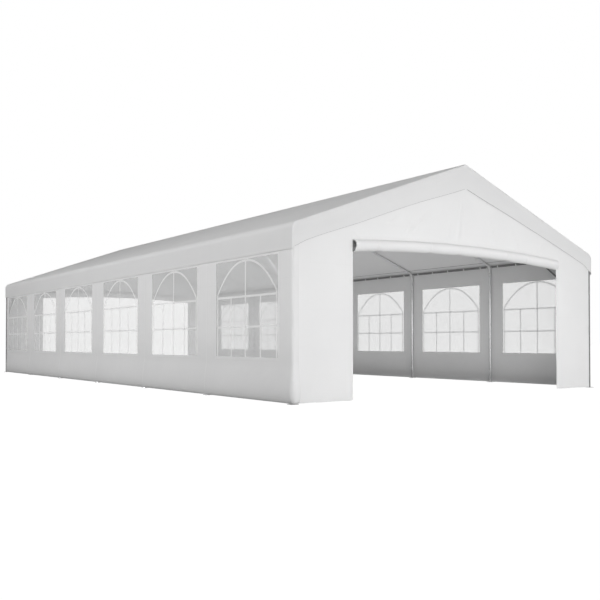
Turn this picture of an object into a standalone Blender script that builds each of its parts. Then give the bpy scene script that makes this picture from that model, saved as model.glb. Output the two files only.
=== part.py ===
"""A white marquee tent, six bays long: tube frames, a roof cover, windowed side walls and open gable ends.

Metres, +Z up. The origin is on the ground in the middle of the tent. The front gable faces -Y,
and the left wall is on the -X side.
"""

import math

import bmesh
import bpy
from mathutils import Matrix, Vector

# Driving dimensions
BAYS = 6
BAY_LENGTH = 2.0
LEG_X = 2.895
APEX_Z = 3.14
ROOF_PITCH = math.radians(20)
TUBE_RADIUS = 0.019
SLEEVE_RADIUS = 0.021
BRACE_RADIUS = 0.0125
TUBE_SIDES = 16
SHEET = 0.005
GAP = 0.0003
SMOOTH_ANGLE = math.radians(35)
WELD = 1e-5
CUTTER_REACH = 0.5

# Connectors
CONNECTOR_SIDES = 12
BEND_RADIUS = 0.10
BEND_STEPS = 4
EAVE_STUB = 0.09
RIDGE_STUB = 0.12
SLEEVE_ALONG = 0.08

# Feet
PLATE_SIDE = 0.10
PLATE_THICKNESS = 0.005

# Corner braces
BRACE_LEG_Z = 1.27
BRACE_REACH = 0.90

# Roof cover
VALANCE_BOTTOM_Z = 1.795
RAKE_DROP = 0.29
EAVE_ROUND = 0.10
EAVE_STEPS = 6
RIDGE_STEPS = 2
RIM_ROUND = 0.015
RIM_STEPS = 3

# Side walls
WALL_TOP_Z = 2.025
WALL_BOTTOM_Z = 0.008
CORNER_ROUND = 0.027
CORNER_STEPS = 4
FLAP_LENGTH = 0.095
WALL_END_SHORT = 0.022
SKIRT_TOP_Z = 0.46
SKIRT_BULGE = 0.035
SKIRT_FADE = 0.30
SKIRT_STEPS = 7
SKIRT_STEP_POWER = 1.6
BULGE_LOW_POWER = 0.55
BULGE_SOFT_POWER = 1.2

# Windows
WINDOW_WIDTH = 1.462
WINDOW_BOTTOM_Z = 0.531
WINDOW_TOP_Z = 1.764
FILM_THICKNESS = 0.002
FILM_OVERLAP = 0.025

# Gable walls and rolled doors
DOOR_HALF_WIDTH = 2.015
DOOR_SPRING_Z = 1.90
DOOR_BOW = 0.075
DOOR_ARC_STEPS = 16
PANEL_FREE_EDGE_X = 2.868
PANEL_COVERED_EDGE_X = 2.885
PANEL_TOP_CLEARANCE = 0.02
ROLL_RADIUS = 0.07
ROLL_TOP_CLEARANCE = 0.0008
ROLL_END_CLEARANCE = 0.006

# Worked out from the driving dimensions
HALF_LENGTH = BAYS * BAY_LENGTH / 2
FRAME_YS = [-HALF_LENGTH + i * BAY_LENGTH for i in range(BAYS + 1)]
SLOPE = math.tan(ROOF_PITCH)
EAVE_Z = APEX_Z - SLOPE * LEG_X
SIDES = {"left": -1, "right": 1}

# Distances of the cloth layers, from the inside out
CLEAR_SLEEVE = SLEEVE_RADIUS + GAP
WALL_INNER_X = LEG_X + CLEAR_SLEEVE
WALL_OUTER_X = WALL_INNER_X + SHEET
VALANCE_INNER_X = WALL_OUTER_X + GAP
GABLE_INNER_Y = HALF_LENGTH + CLEAR_SLEEVE
GABLE_OUTER_Y = GABLE_INNER_Y + SHEET
FLAP_INNER_Y = GABLE_OUTER_Y + GAP
FLAP_OUTER_Y = FLAP_INNER_Y + SHEET
VALANCE_INNER_Y = FLAP_OUTER_Y + GAP

# The bend of an eave connector: where its arc starts, on the leg and on the rafter
BEND_TURN = math.pi / 2 - ROOF_PITCH
BEND_TANGENT = BEND_RADIUS * math.tan(BEND_TURN / 2)
BEND_CENTRE = Vector((LEG_X - BEND_RADIUS, 0, EAVE_Z - BEND_TANGENT))
BEND_MIDDLE = BEND_CENTRE + BEND_RADIUS * Vector((math.cos(BEND_TURN / 2), 0, math.sin(BEND_TURN / 2)))
LEG_TOP_Z = EAVE_Z - BEND_TANGENT - EAVE_STUB
RAFTER_END = LEG_X / math.cos(ROOF_PITCH) - BEND_TANGENT - EAVE_STUB


def clear_scene():
    for item in list(bpy.data.objects):
        bpy.data.objects.remove(item, do_unlink=True)


def new_collection(name):
    collection = bpy.data.collections.new(name)
    bpy.context.scene.collection.children.link(collection)
    return collection


def new_material(name, colour, roughness, metallic=0.0, transmission=0.0):
    made = bpy.data.materials.new(name)
    made.use_nodes = True
    shader = made.node_tree.nodes["Principled BSDF"]
    shader.inputs["Base Color"].default_value = (*colour, 1)
    shader.inputs["Roughness"].default_value = roughness
    shader.inputs["Metallic"].default_value = metallic
    shader.inputs["Transmission Weight"].default_value = transmission
    made.diffuse_color = (*colour, 1)
    return made


clear_scene()
TENT = new_collection("marquee_tent")
CUTTERS = new_collection("cutters")
STEEL = new_material("coated_steel", (0.72, 0.73, 0.74), 0.38, metallic=0.35)
ROOF_CLOTH = new_material("roof_cloth", (0.80, 0.80, 0.80), 0.55)
WALL_CLOTH = new_material("wall_cloth", (0.82, 0.82, 0.82), 0.6)
GABLE_CLOTH = new_material("gable_cloth", (0.83, 0.83, 0.83), 0.6)
DOOR_CLOTH = new_material("door_cloth", (0.84, 0.84, 0.84), 0.6)
FILM = new_material("window_film", (0.92, 0.93, 0.94), 0.12, transmission=0.9)

ORIGIN = bpy.data.objects.new("tent_origin", None)
TENT.objects.link(ORIGIN)


def place(name, mesh, material, collection=TENT):
    """An object for a mesh, in the tent's collection or among the cutters."""
    made = bpy.data.objects.new(name, mesh)
    collection.objects.link(made)
    if collection is CUTTERS:
        made.hide_render = True
        made.display_type = "WIRE"
        return made
    if not mesh.materials:
        mesh.materials.append(material)
    made.parent = ORIGIN
    return made


def mesh_of(bm, name, smooth=False):
    bmesh.ops.recalc_face_normals(bm, faces=bm.faces)
    mesh = bpy.data.meshes.new(name)
    bm.to_mesh(mesh)
    bm.free()
    if smooth:
        mesh.shade_smooth()
        mesh.set_sharp_from_angle(angle=SMOOTH_ANGLE)
    return mesh


def rod_mesh(name, start, end, radius, sides=TUBE_SIDES):
    """A closed cylinder between two points."""
    axis = Vector(end) - Vector(start)
    turn = axis.to_track_quat("Z", "Y").to_matrix().to_4x4()
    centre = Matrix.Translation((Vector(start) + Vector(end)) / 2)
    bm = bmesh.new()
    bmesh.ops.create_cone(
        bm,
        cap_ends=True,
        segments=sides,
        radius1=radius,
        radius2=radius,
        depth=axis.length,
        matrix=centre @ turn,
    )
    return mesh_of(bm, name, smooth=True)


def box(bm, low, high):
    """A box between two corners, added to a bmesh."""
    size = Vector(high) - Vector(low)
    centre = (Vector(high) + Vector(low)) / 2
    bmesh.ops.create_cube(bm, size=1, matrix=Matrix.Translation(centre) @ Matrix.Diagonal((*size, 1)))


def baked(made):
    """The object's mesh with its modifiers or its bevel applied."""
    bpy.context.view_layer.update()
    graph = bpy.context.evaluated_depsgraph_get()
    return bpy.data.meshes.new_from_object(made.evaluated_get(graph))


def bent_tube(name, points, radius, sides):
    """A closed tube mesh along a list of points."""
    curve = bpy.data.curves.new(name, "CURVE")
    curve.dimensions = "3D"
    curve.bevel_depth = radius
    curve.bevel_resolution = (sides - 4) // 2
    curve.use_fill_caps = True
    spline = curve.splines.new("POLY")
    spline.points.add(len(points) - 1)
    for point, place_at in zip(spline.points, points):
        point.co = (*place_at, 1)
    carrier = bpy.data.objects.new(name, curve)
    CUTTERS.objects.link(carrier)
    mesh = baked(carrier)
    bpy.data.objects.remove(carrier, do_unlink=True)
    bm = bmesh.new()
    bm.from_mesh(mesh)
    bmesh.ops.remove_doubles(bm, verts=bm.verts, dist=WELD)
    bpy.data.meshes.remove(mesh)
    return mesh_of(bm, name, smooth=True)


def boolean(target, operand, operation):
    modifier = target.modifiers.new(operation.lower(), "BOOLEAN")
    modifier.solver = "EXACT"
    modifier.operation = operation
    modifier.object = operand


def slope_point(side, along, y=0.0):
    """The point of a rafter's centreline at a distance down the slope from the ridge."""
    return Vector((side * along * math.cos(ROOF_PITCH), y, APEX_Z - along * math.sin(ROOF_PITCH)))


def elbow_points(side, y):
    """The centreline of an eave connector, from its leg stub round the bend to its rafter stub."""
    points = [Vector((side * LEG_X, y, LEG_TOP_Z))]
    for step in range(BEND_STEPS + 1):
        angle = BEND_TURN * step / BEND_STEPS
        x = BEND_CENTRE.x + BEND_RADIUS * math.cos(angle)
        z = BEND_CENTRE.z + BEND_RADIUS * math.sin(angle)
        points.append(Vector((side * x, y, z)))
    points.append(slope_point(side, RAFTER_END, y))
    return points


def pole_with_connectors(name, centre_x, centre_z, connector_paths):
    """A pole the length of the frame, with a bent connector and two sleeves at each portal frame."""
    near = Vector((centre_x, -HALF_LENGTH, centre_z))
    far = Vector((centre_x, HALF_LENGTH, centre_z))
    pole = place(name, rod_mesh(name, near, far, TUBE_RADIUS), STEEL)
    for number, (y, path) in enumerate(zip(FRAME_YS, connector_paths), start=1):
        low = Vector((centre_x, max(y - SLEEVE_ALONG, -HALF_LENGTH), centre_z))
        high = Vector((centre_x, min(y + SLEEVE_ALONG, HALF_LENGTH), centre_z))
        sleeve_mesh = rod_mesh(name, low, high, SLEEVE_RADIUS, CONNECTOR_SIDES)
        bend_mesh = bent_tube(name, path, SLEEVE_RADIUS, CONNECTOR_SIDES)
        boolean(pole, place(f"{name}_sleeve_{number}", sleeve_mesh, None, CUTTERS), "UNION")
        boolean(pole, place(f"{name}_bend_{number}", bend_mesh, None, CUTTERS), "UNION")


def make_ridge_pole():
    paths = [
        [slope_point(-1, RIDGE_STUB, y), slope_point(1, 0, y), slope_point(1, RIDGE_STUB, y)]
        for y in FRAME_YS
    ]
    pole_with_connectors("ridge_pole", 0.0, APEX_Z, paths)


def make_eave_poles():
    for label, side in SIDES.items():
        paths = [elbow_points(side, y) for y in FRAME_YS]
        pole_with_connectors(f"eave_pole_{label}", side * BEND_MIDDLE.x, BEND_MIDDLE.z, paths)


def leg_mesh():
    """A leg with its square foot plate, standing on the origin."""
    tube_mesh = rod_mesh("leg", (0, 0, PLATE_THICKNESS / 2), (0, 0, LEG_TOP_Z - GAP), TUBE_RADIUS)
    tube = place("leg_tube", tube_mesh, STEEL)
    bm = bmesh.new()
    half = PLATE_SIDE / 2
    box(bm, (-half, -half, 0), (half, half, PLATE_THICKNESS))
    plate = place("foot_plate", mesh_of(bm, "foot_plate"), None, CUTTERS)
    boolean(tube, plate, "UNION")
    mesh = baked(tube)
    bpy.data.objects.remove(tube, do_unlink=True)
    bpy.data.objects.remove(plate, do_unlink=True)
    return mesh


def make_legs():
    mesh = leg_mesh()
    for label, side in SIDES.items():
        for number, y in enumerate(FRAME_YS, start=1):
            leg = place(f"leg_{label}_{number}", mesh, STEEL)
            leg.location = (side * LEG_X, y, 0)


def make_rafters():
    for label, side in SIDES.items():
        top = slope_point(side, RIDGE_STUB + GAP)
        bottom = slope_point(side, RAFTER_END - GAP)
        mesh = rod_mesh(f"rafter_{label}", top, bottom, TUBE_RADIUS)
        for number, y in enumerate(FRAME_YS, start=1):
            rafter = place(f"rafter_{label}_{number}", mesh, STEEL)
            rafter.location = (0, y, 0)


def make_corner_braces():
    """A diagonal tube from each corner leg up to the eave pole, its ends notched round both."""
    notch_radius = TUBE_RADIUS + GAP
    for label, side in SIDES.items():
        x, z = side * BEND_MIDDLE.x, BEND_MIDDLE.z
        notch = rod_mesh("pole_notch", (x, -HALF_LENGTH, z), (x, HALF_LENGTH, z), notch_radius)
        pole_notch = place(f"pole_notch_{label}", notch, None, CUTTERS)
        for end, direction in (("front", -1), ("back", 1)):
            y = direction * HALF_LENGTH
            foot = (side * LEG_X, y, 0)
            leg_top = (side * LEG_X, y, LEG_TOP_Z)
            low = (side * LEG_X, y, BRACE_LEG_Z)
            high = (x, y - direction * BRACE_REACH, z)
            rod = rod_mesh("corner_brace", low, high, BRACE_RADIUS)
            brace = place(f"corner_brace_{end}_{label}", rod, STEEL)
            notch = rod_mesh("leg_notch", foot, leg_top, notch_radius)
            boolean(brace, place(f"leg_notch_{end}_{label}", notch, None, CUTTERS), "DIFFERENCE")
            boolean(brace, pole_notch, "DIFFERENCE")


def arc(centre_x, centre_z, radius, start, end, steps):
    return [
        (
            centre_x + radius * math.cos(start + (end - start) * i / steps),
            centre_z + radius * math.sin(start + (end - start) * i / steps),
        )
        for i in range(steps + 1)
    ]


def roof_profile(inset, bottom_z):
    """Half a cross-section of the roof's inner face, from the valance's hem to the ridge, then mirrored.

    inset moves the whole line inwards, and a negative inset outwards.
    """
    distance = APEX_Z * math.cos(ROOF_PITCH) + CLEAR_SLEEVE - inset
    face_x = VALANCE_INNER_X - inset
    radius = EAVE_ROUND - inset
    centre_x = face_x - radius
    centre_z = (distance - radius - math.sin(ROOF_PITCH) * centre_x) / math.cos(ROOF_PITCH)
    eave = arc(centre_x, centre_z, radius, 0, BEND_TURN, EAVE_STEPS)
    ridge = arc(0, APEX_Z, CLEAR_SLEEVE - inset, BEND_TURN, math.pi / 2, RIDGE_STEPS)
    half = [(face_x, bottom_z), *eave, *ridge]
    return half + [(-x, z) for x, z in reversed(half[:-1])]


def loft(sections, name):
    """A closed solid through sections that have the same number of points, each at its own y."""
    bm = bmesh.new()
    rings = [[bm.verts.new((x, y, z)) for x, z in points] for y, points in sections]
    for first, second in zip(rings, rings[1:]):
        count = len(first)
        for i in range(count):
            following = (i + 1) % count
            bm.faces.new((first[i], first[following], second[following], second[i]))
    bm.faces.new(rings[0])
    bm.faces.new(rings[-1])
    return mesh_of(bm, name)


def roof_block(name, thickness, bottom_z):
    """The roof's shape as a solid, with rounded rims at both gables."""
    rim = RIM_ROUND + thickness
    end_y = VALANCE_INNER_Y + thickness
    near = [
        (-end_y + rim * (1 - math.sin(angle)), rim * (1 - math.cos(angle)) - thickness)
        for angle in (math.pi / 2 * (1 - i / RIM_STEPS) for i in range(RIM_STEPS + 1))
    ]
    steps = near + [(-y, inset) for y, inset in reversed(near)]
    return loft([(y, roof_profile(inset, bottom_z)) for y, inset in steps], name)


def make_roof_cover():
    """The whole roof cover: both slopes and the valance that hangs from all four edges."""
    cover = place("roof_cover", roof_block("roof_cover", SHEET, VALANCE_BOTTOM_Z), ROOF_CLOTH)
    low_z = VALANCE_BOTTOM_Z - CUTTER_REACH
    inside = place("roof_inside", roof_block("roof_inside", 0, low_z), None, CUTTERS)
    boolean(cover, inside, "DIFFERENCE")
    outer_apex_z = APEX_Z + (CLEAR_SLEEVE + SHEET) / math.cos(ROOF_PITCH)
    hem_apex_z = outer_apex_z - RAKE_DROP
    hem_half = min((hem_apex_z - VALANCE_BOTTOM_Z) / SLOPE, LEG_X)
    hem_z = hem_apex_z - SLOPE * hem_half
    outline = [(-hem_half, low_z), (hem_half, low_z), (hem_half, hem_z), (0, hem_apex_z), (-hem_half, hem_z)]
    reach = VALANCE_INNER_Y + CUTTER_REACH
    under = loft([(-reach, outline), (reach, outline)], "under_hem")
    boolean(cover, place("under_hem", under, None, CUTTERS), "DIFFERENCE")


def wall_plan():
    """Points and outward directions of the left wall's outer face, from its front flap to its back end."""
    outer_round = CORNER_ROUND + SHEET
    centre = Vector((-WALL_OUTER_X + outer_round, -FLAP_OUTER_Y + outer_round, 0))
    plan = [(Vector((-WALL_OUTER_X + FLAP_LENGTH, -FLAP_OUTER_Y, 0)), Vector((0, -1, 0)))]
    for step in range(CORNER_STEPS + 1):
        angle = math.pi * (1.5 - 0.5 * step / CORNER_STEPS)
        outward = Vector((math.cos(angle), math.sin(angle), 0))
        plan.append((centre + outer_round * outward, outward))
    end_y = HALF_LENGTH - WALL_END_SHORT
    for y in (-HALF_LENGTH + SKIRT_FADE, end_y - SKIRT_FADE, end_y):
        plan.append((Vector((-WALL_OUTER_X, y, 0)), Vector((-1, 0, 0))))
    return plan


def skirt_bulge(z, y):
    """How far the wall stands out at a height: nothing above the skirt, most low down, nothing at the hem."""
    if z >= SKIRT_TOP_Z:
        return 0.0
    share = (z - WALL_BOTTOM_Z) / (SKIRT_TOP_Z - WALL_BOTTOM_Z)
    rise = max(0.0, math.sin(math.pi * share**BULGE_LOW_POWER)) ** BULGE_SOFT_POWER
    fade = min(1.0, max(0.0, (HALF_LENGTH - WALL_END_SHORT - y) / SKIRT_FADE))
    return SKIRT_BULGE * rise * fade


def wall_sheet(name):
    """The left wall's outer face as an open surface, facing outwards."""
    heights = [WALL_TOP_Z, SKIRT_TOP_Z]
    heights += [
        WALL_BOTTOM_Z + (SKIRT_TOP_Z - WALL_BOTTOM_Z) * (1 - step / SKIRT_STEPS) ** SKIRT_STEP_POWER
        for step in range(1, SKIRT_STEPS + 1)
    ]
    bm = bmesh.new()
    rows = []
    for z in heights:
        up = Vector((0, 0, z))
        rows.append([bm.verts.new(point + out * skirt_bulge(z, point.y) + up) for point, out in wall_plan()])
    for upper, lower in zip(rows, rows[1:]):
        for i in range(len(upper) - 1):
            bm.faces.new((upper[i], upper[i + 1], lower[i + 1], lower[i]))
    bm.normal_update()
    if max(bm.faces, key=lambda face: face.calc_area()).normal.x > 0:
        bmesh.ops.reverse_faces(bm, faces=bm.faces)
    mesh = bpy.data.meshes.new(name)
    bm.to_mesh(mesh)
    bm.free()
    return mesh


def window_cutter():
    bm = bmesh.new()
    for y in FRAME_YS[:-1]:
        middle = y + BAY_LENGTH / 2
        low = (-WALL_OUTER_X - SHEET, middle - WINDOW_WIDTH / 2, WINDOW_BOTTOM_Z)
        high = (-WALL_INNER_X + SHEET, middle + WINDOW_WIDTH / 2, WINDOW_TOP_Z)
        box(bm, low, high)
    return place("window_cutter", mesh_of(bm, "window_cutter"), None, CUTTERS)


def make_side_walls():
    """The left wall wraps the front corner and stops at the back leg, and the right wall is its half turn."""
    wall = place("side_wall", wall_sheet("side_wall"), WALL_CLOTH)
    thicken = wall.modifiers.new("thickness", "SOLIDIFY")
    thicken.thickness = SHEET
    thicken.offset = -1
    thicken.use_even_offset = True
    cutter = window_cutter()
    boolean(wall, cutter, "DIFFERENCE")
    mesh = baked(wall)
    bpy.data.objects.remove(wall, do_unlink=True)
    bpy.data.objects.remove(cutter, do_unlink=True)
    place("left_wall", mesh, WALL_CLOTH)
    right_wall = place("right_wall", mesh, WALL_CLOTH)
    right_wall.rotation_euler.z = math.pi


def make_windows():
    """A pane of clear film behind each window opening."""
    half_width = WINDOW_WIDTH / 2 + FILM_OVERLAP
    low = (-FILM_THICKNESS / 2, -half_width, WINDOW_BOTTOM_Z - FILM_OVERLAP)
    high = (FILM_THICKNESS / 2, half_width, WINDOW_TOP_Z + FILM_OVERLAP)
    bm = bmesh.new()
    box(bm, low, high)
    mesh = mesh_of(bm, "window_film")
    film_x = WALL_INNER_X - GAP - FILM_THICKNESS / 2
    for label, side in SIDES.items():
        for number, y in enumerate(FRAME_YS[:-1], start=1):
            pane = place(f"window_{label}_{number}", mesh, FILM)
            pane.location = (side * film_x, y + BAY_LENGTH / 2, 0)


def door_bow(x):
    """How far the doorway's top and the rolled door rise above their ends."""
    return DOOR_BOW * (1 - (x / DOOR_HALF_WIDTH) ** 2)


def door_xs(half_width):
    """Evenly spaced places along the top of the doorway, from left to right."""
    return [half_width * (2 * i / DOOR_ARC_STEPS - 1) for i in range(DOOR_ARC_STEPS + 1)]


def gable_outline():
    """The front gable wall from outside: both side panels and the triangle over the open doorway."""
    left_x = -PANEL_COVERED_EDGE_X
    right_x = PANEL_FREE_EDGE_X
    roof_z = APEX_Z + CLEAR_SLEEVE / math.cos(ROOF_PITCH) - PANEL_TOP_CLEARANCE
    doorway_z = DOOR_SPRING_Z + ROLL_RADIUS + ROLL_TOP_CLEARANCE
    outline = [(left_x, WALL_BOTTOM_Z), (-DOOR_HALF_WIDTH, WALL_BOTTOM_Z)]
    outline += [(x, doorway_z + door_bow(x)) for x in door_xs(DOOR_HALF_WIDTH)]
    outline += [(DOOR_HALF_WIDTH, WALL_BOTTOM_Z), (right_x, WALL_BOTTOM_Z)]
    outline += [(right_x, roof_z - SLOPE * right_x), (0, roof_z), (left_x, roof_z + SLOPE * left_x)]
    return outline


def make_gable_walls():
    """Each gable wall is a flat sheet in front of its end frame. The back one is the front's half turn."""
    curve = bpy.data.curves.new("gable_wall", "CURVE")
    curve.dimensions = "2D"
    curve.fill_mode = "BOTH"
    curve.extrude = SHEET / 2
    outline = gable_outline()
    spline = curve.splines.new("POLY")
    spline.points.add(len(outline) - 1)
    spline.use_cyclic_u = True
    for point, (x, z) in zip(spline.points, outline):
        point.co = (x, z, 0, 1)
    carrier = bpy.data.objects.new("gable_wall", curve)
    CUTTERS.objects.link(carrier)
    mesh = baked(carrier)
    bpy.data.objects.remove(carrier, do_unlink=True)
    bm = bmesh.new()
    bm.from_mesh(mesh)
    bmesh.ops.remove_doubles(bm, verts=bm.verts, dist=WELD)
    upright = Matrix.Rotation(math.pi / 2, 4, "X")
    bm.transform(Matrix.Translation((0, -GABLE_INNER_Y - SHEET / 2, 0)) @ upright)
    wall_mesh = mesh_of(bm, "gable_wall")
    place("front_gable_wall", wall_mesh, GABLE_CLOTH)
    back_wall = place("back_gable_wall", wall_mesh, GABLE_CLOTH)
    back_wall.rotation_euler.z = math.pi


def make_rolled_doors():
    """Each door is rolled up along the top of its doorway, under the gable wall's edge."""
    y = -(GABLE_INNER_Y + GABLE_OUTER_Y) / 2
    xs = door_xs(DOOR_HALF_WIDTH - ROLL_END_CLEARANCE)
    points = [Vector((x, y, DOOR_SPRING_Z + door_bow(x))) for x in xs]
    mesh = bent_tube("rolled_door", points, ROLL_RADIUS, TUBE_SIDES)
    place("front_rolled_door", mesh, DOOR_CLOTH)
    back_door = place("back_rolled_door", mesh, DOOR_CLOTH)
    back_door.rotation_euler.z = math.pi


make_legs()
make_rafters()
make_ridge_pole()
make_eave_poles()
make_corner_braces()
make_roof_cover()
make_side_walls()
make_windows()
make_gable_walls()
make_rolled_doors()
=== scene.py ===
"""The looks of a white marquee tent of six bays: cloth, clear windows, rolled doors and fittings on a frame.

Metres, +Z up. The front gable faces -Y and the left wall is on the -X side.
"""

import math

import bmesh
import bpy
from mathutils import Matrix, Vector, noise


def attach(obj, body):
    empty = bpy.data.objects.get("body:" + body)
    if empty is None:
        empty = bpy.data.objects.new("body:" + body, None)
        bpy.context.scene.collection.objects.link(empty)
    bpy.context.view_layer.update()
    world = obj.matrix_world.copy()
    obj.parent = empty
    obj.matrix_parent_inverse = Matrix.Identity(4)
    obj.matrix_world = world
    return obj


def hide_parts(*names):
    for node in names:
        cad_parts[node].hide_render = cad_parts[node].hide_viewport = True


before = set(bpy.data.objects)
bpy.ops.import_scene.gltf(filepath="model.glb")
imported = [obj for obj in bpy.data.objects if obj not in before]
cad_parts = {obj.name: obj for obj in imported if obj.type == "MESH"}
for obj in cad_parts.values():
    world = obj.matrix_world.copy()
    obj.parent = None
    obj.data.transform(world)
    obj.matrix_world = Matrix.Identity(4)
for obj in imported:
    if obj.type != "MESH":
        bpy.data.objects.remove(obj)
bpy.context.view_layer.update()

# Frame
BAYS = 6
BAY_LENGTH = 2.0
HALF_LENGTH = BAYS * BAY_LENGTH / 2
FRAME_YS = [-HALF_LENGTH + BAY_LENGTH * i for i in range(BAYS + 1)]
BAY_MIDDLES = [y + BAY_LENGTH / 2 for y in FRAME_YS[:-1]]
LEG_X = 2.895
APEX_Z = 3.14
PITCH = math.radians(20)
SLOPE = math.tan(PITCH)
TUBE_RADIUS = 0.019
SLEEVE_RADIUS = 0.021
LEG_TOP_Z = 1.926
EAVE_POLE_X = 2.877
EAVE_POLE_Z = 2.0757
RAFTER_TOP = 0.12
RAFTER_BOTTOM = 2.921
LEFT_AND_RIGHT = (("left", 0.0), ("right", math.pi))
FRONT_AND_BACK = (("front", 0.0), ("back", math.pi))

# Cloth
CLOTH = 0.0012
TAPE = 0.0008
WELD = 1e-5
HARD_EDGE = math.radians(40)
INSIDE_POINT = Vector((0, 0, 1.2))
EDGE_GAP = 0.001

# Roof cover and its side valances
ROOF_RADIUS = 0.0237
EAVE_CENTRE_X = 2.8216
EAVE_CENTRE_Z = 2.0293
EAVE_RADIUS = 0.1025
VALANCE_BOTTOM_Z = 1.795
VALANCE_WAVE = 0.0035
VALANCE_CORNER = 0.35
BAY_SAG = 0.011
ROOF_LONG_STEPS = 24
ROOF_SLOPE_STEPS = 40
ROOF_EAVE_STEPS = 6
VALANCE_STEPS = 6

# Gable valances, at the roof's rakes
RAKE_Y = 6.0344
RIM_RADIUS = 0.015
RIM_GAP = 0.02
RAKE_HEM_APEX_Z = 2.878
RAKE_ROUNDING = 0.02
RAKE_DIP = 0.052
RAKE_DIP_REACH = 0.75
RAKE_CORNER = 0.30
RAKE_LEAN_LEFT = 0.0068
RAKE_LEAN_RIGHT = 0.0030
RAKE_CREASE = 0.0012
RAKE_CREASE_REACH = 0.5
RAKE_HOLLOW = 0.0004
HEM_CORNER = 0.22
# Each lift: its side of the ridge, its height, its distance from the ridge and the run over which it grows
HEM_LIFTS = ((1, 0.046, 0.7, 1.9), (-1, 0.021, 1.8, 0.8))

# Side walls
WALL_X = 2.9188
WALL_TOP_Z = EAVE_CENTRE_Z
WALL_TOP_WRAP = 0.068
WALL_BOTTOM_Z = 0.008
CORNER_CENTRE = Vector((-2.8893, -5.9996, 0))
CORNER_RADIUS = 0.0295
FLAP = 0.063
FLAP_LAID = 0.0038
WALL_END_Y = 5.972
TUCK_START_Y = 5.875
TUCK = 0.024
TUCK_TOP_Z = 1.92
TUCK_FADE = 0.1
TUCK_STEPS = 6
SKIRT_TOP_Z = 0.46
SKIRT_BULGE = 0.035
SKIRT_FADE = 0.30
SKIRT_STEPS = 12
WALL_WAVE = 0.0035
WAVE_FADE = 0.3
WALL_TOP_HELD = 0.05
WALL_COLUMN = 0.07

# Windows
WINDOW_HALF = 0.731
WINDOW_BOTTOM_Z = 0.531
WINDOW_TOP_Z = 1.764
WINDOW_ROWS = 16
WINDOW_COLUMNS = 20
FILM_OVERLAP = 0.006
FILM_INSET = 0.0026
FILM = 0.0008
BAR_WIDTH = 0.027
BAR_DEPTH = 0.0004
BAR_LIFT = 0.0004
BAR_STEP = 0.12
BAR_BOTTOM_Z = WINDOW_BOTTOM_Z - 0.01
BORDER_HALF = 0.70
ARCH_SPRING_Z = 1.338
ARCH_TOP_Z = 1.748
ARCH_POWER = 2.15
TRANSOM_Z = 1.295
LOWER_BAR_Z = 0.91
ARCH_STEPS = 28

# Gable walls
GABLE_Y = 6.0238
GABLE_LEFT_X = -2.885
GABLE_RIGHT_X = 2.854
GABLE_TOP_Z = 3.1427
GABLE_ROUNDING = 0.01
PANEL_HELD_X = 2.82
HELD_BELOW_ROOF = 0.25
HELD_AT_SIDES = 0.12
FREE_BELOW_ROOF = 0.33
FREE_FADE = 0.08
PUSH_HELD = 0.0020
PUSH_FREE = 0.0110
GABLE_HOLLOW = 0.001
GABLE_SWELL = 0.0030
LIP_REACH = 0.010
LIP_HEIGHT = 0.055
LIP_DROP = 0.002
LIP_END = 0.03
PANEL_STEPS = 18
PANEL_ROWS = 36
HEAD_STEPS = 232
HEAD_ROWS = 56

# Doorway and rolled door
DOOR_HALF = 2.015
DOOR_SPRING_Z = 1.90
DOOR_BOW = 0.075
DOORWAY_ABOVE_ROLL = 0.0708
ROLL_HALF = 2.008
ROLL_START = math.pi / 2 + 0.12
ROLL_OUTER = 0.0675
ROLL_PITCH = 0.0088
ROLL_TURNS = 5.6
ROLL_CLOTH_A_TURN = 0.30
ROLL_DROOP = 0.26
ROLL_SETBACK = 0.022
SETBACK_TURN = 0.9
ROLL_LEAD = 0.0015
LEAD_TURN = 0.08
ROLL_SLACK = 0.0035
ROLL_FINE_SLACK = 0.0016
SLACK_TURN = 0.12
ROLL_TURN_STEPS = 22
ROLL_STEPS = 110
ROLL_TIES = (-1.62, -0.70, -0.16, 0.84, 1.27)
TIE_REACH = 0.055
TIE_PINCH = 0.007
STRAP_HALF = 0.0125
STRAP_LIFT = 0.0022
STRAP_TURN = (0.03, 0.97)
STRAP = 0.0016

# Tapes and hems
WINDOW_TAPE = 0.035
SEAM_TAPE = 0.045
SEAM_TAPE_START = 0.06
RIDGE_TAPE_HALF = 0.055
VALANCE_HEM = 0.035
HEM_TAPE = 0.05
LEG_TAPE_HALF = 0.012
LEG_TAPE_LOW_GAP = 0.03
LEG_TAPE_HIGH_GAP = 0.06
DOOR_TAPE = 0.041
DOOR_HEAD_TAPE = 0.035
GABLE_TAPE_ENDS = {-1: GABLE_LEFT_X + 0.06, 1: GABLE_RIGHT_X - 0.004}
WELT = 0.003
WELT_WIDTH = 0.012
WELT_INSET = 0.075
# Painted shadow under the gable valances' hems: its share of the valance's depth, narrower on the left, and
# where it stops
HEM_SHADOW_SHARE = 0.023
HEM_SHADOW_LEFT_SHARE = 0.6 * HEM_SHADOW_SHARE
HEM_SHADOW_END = 0.999
HEM_SHADOW_RIDGE_GAP = 0.03
HEM_SHADOW_EAVE_GAP = 0.05

# Fittings
BALL_RADIUS = 0.012
BALL_GAP = 0.002
LOOP_RADIUS = 0.0235
LOOP_DRAWN = 0.008
LOOP_STEPS = 14
CORD_RADIUS = 0.0022
CORD_SIDES = 5
TAB_INNER = 0.0214
TAB_OUTER = 0.0228
TAB_HALF = 0.011
TAB_SIDES = 14
TAB_SPACING = 0.40
TIE_INWARD = 0.94
TIE_TO_MIDDLE = 0.34
LEG_TIE_ZS = (0.20, 0.82, 1.50, 1.975)
RAFTER_TIE_RUNS = (0.75, 1.40, 2.05, 2.70)
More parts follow.
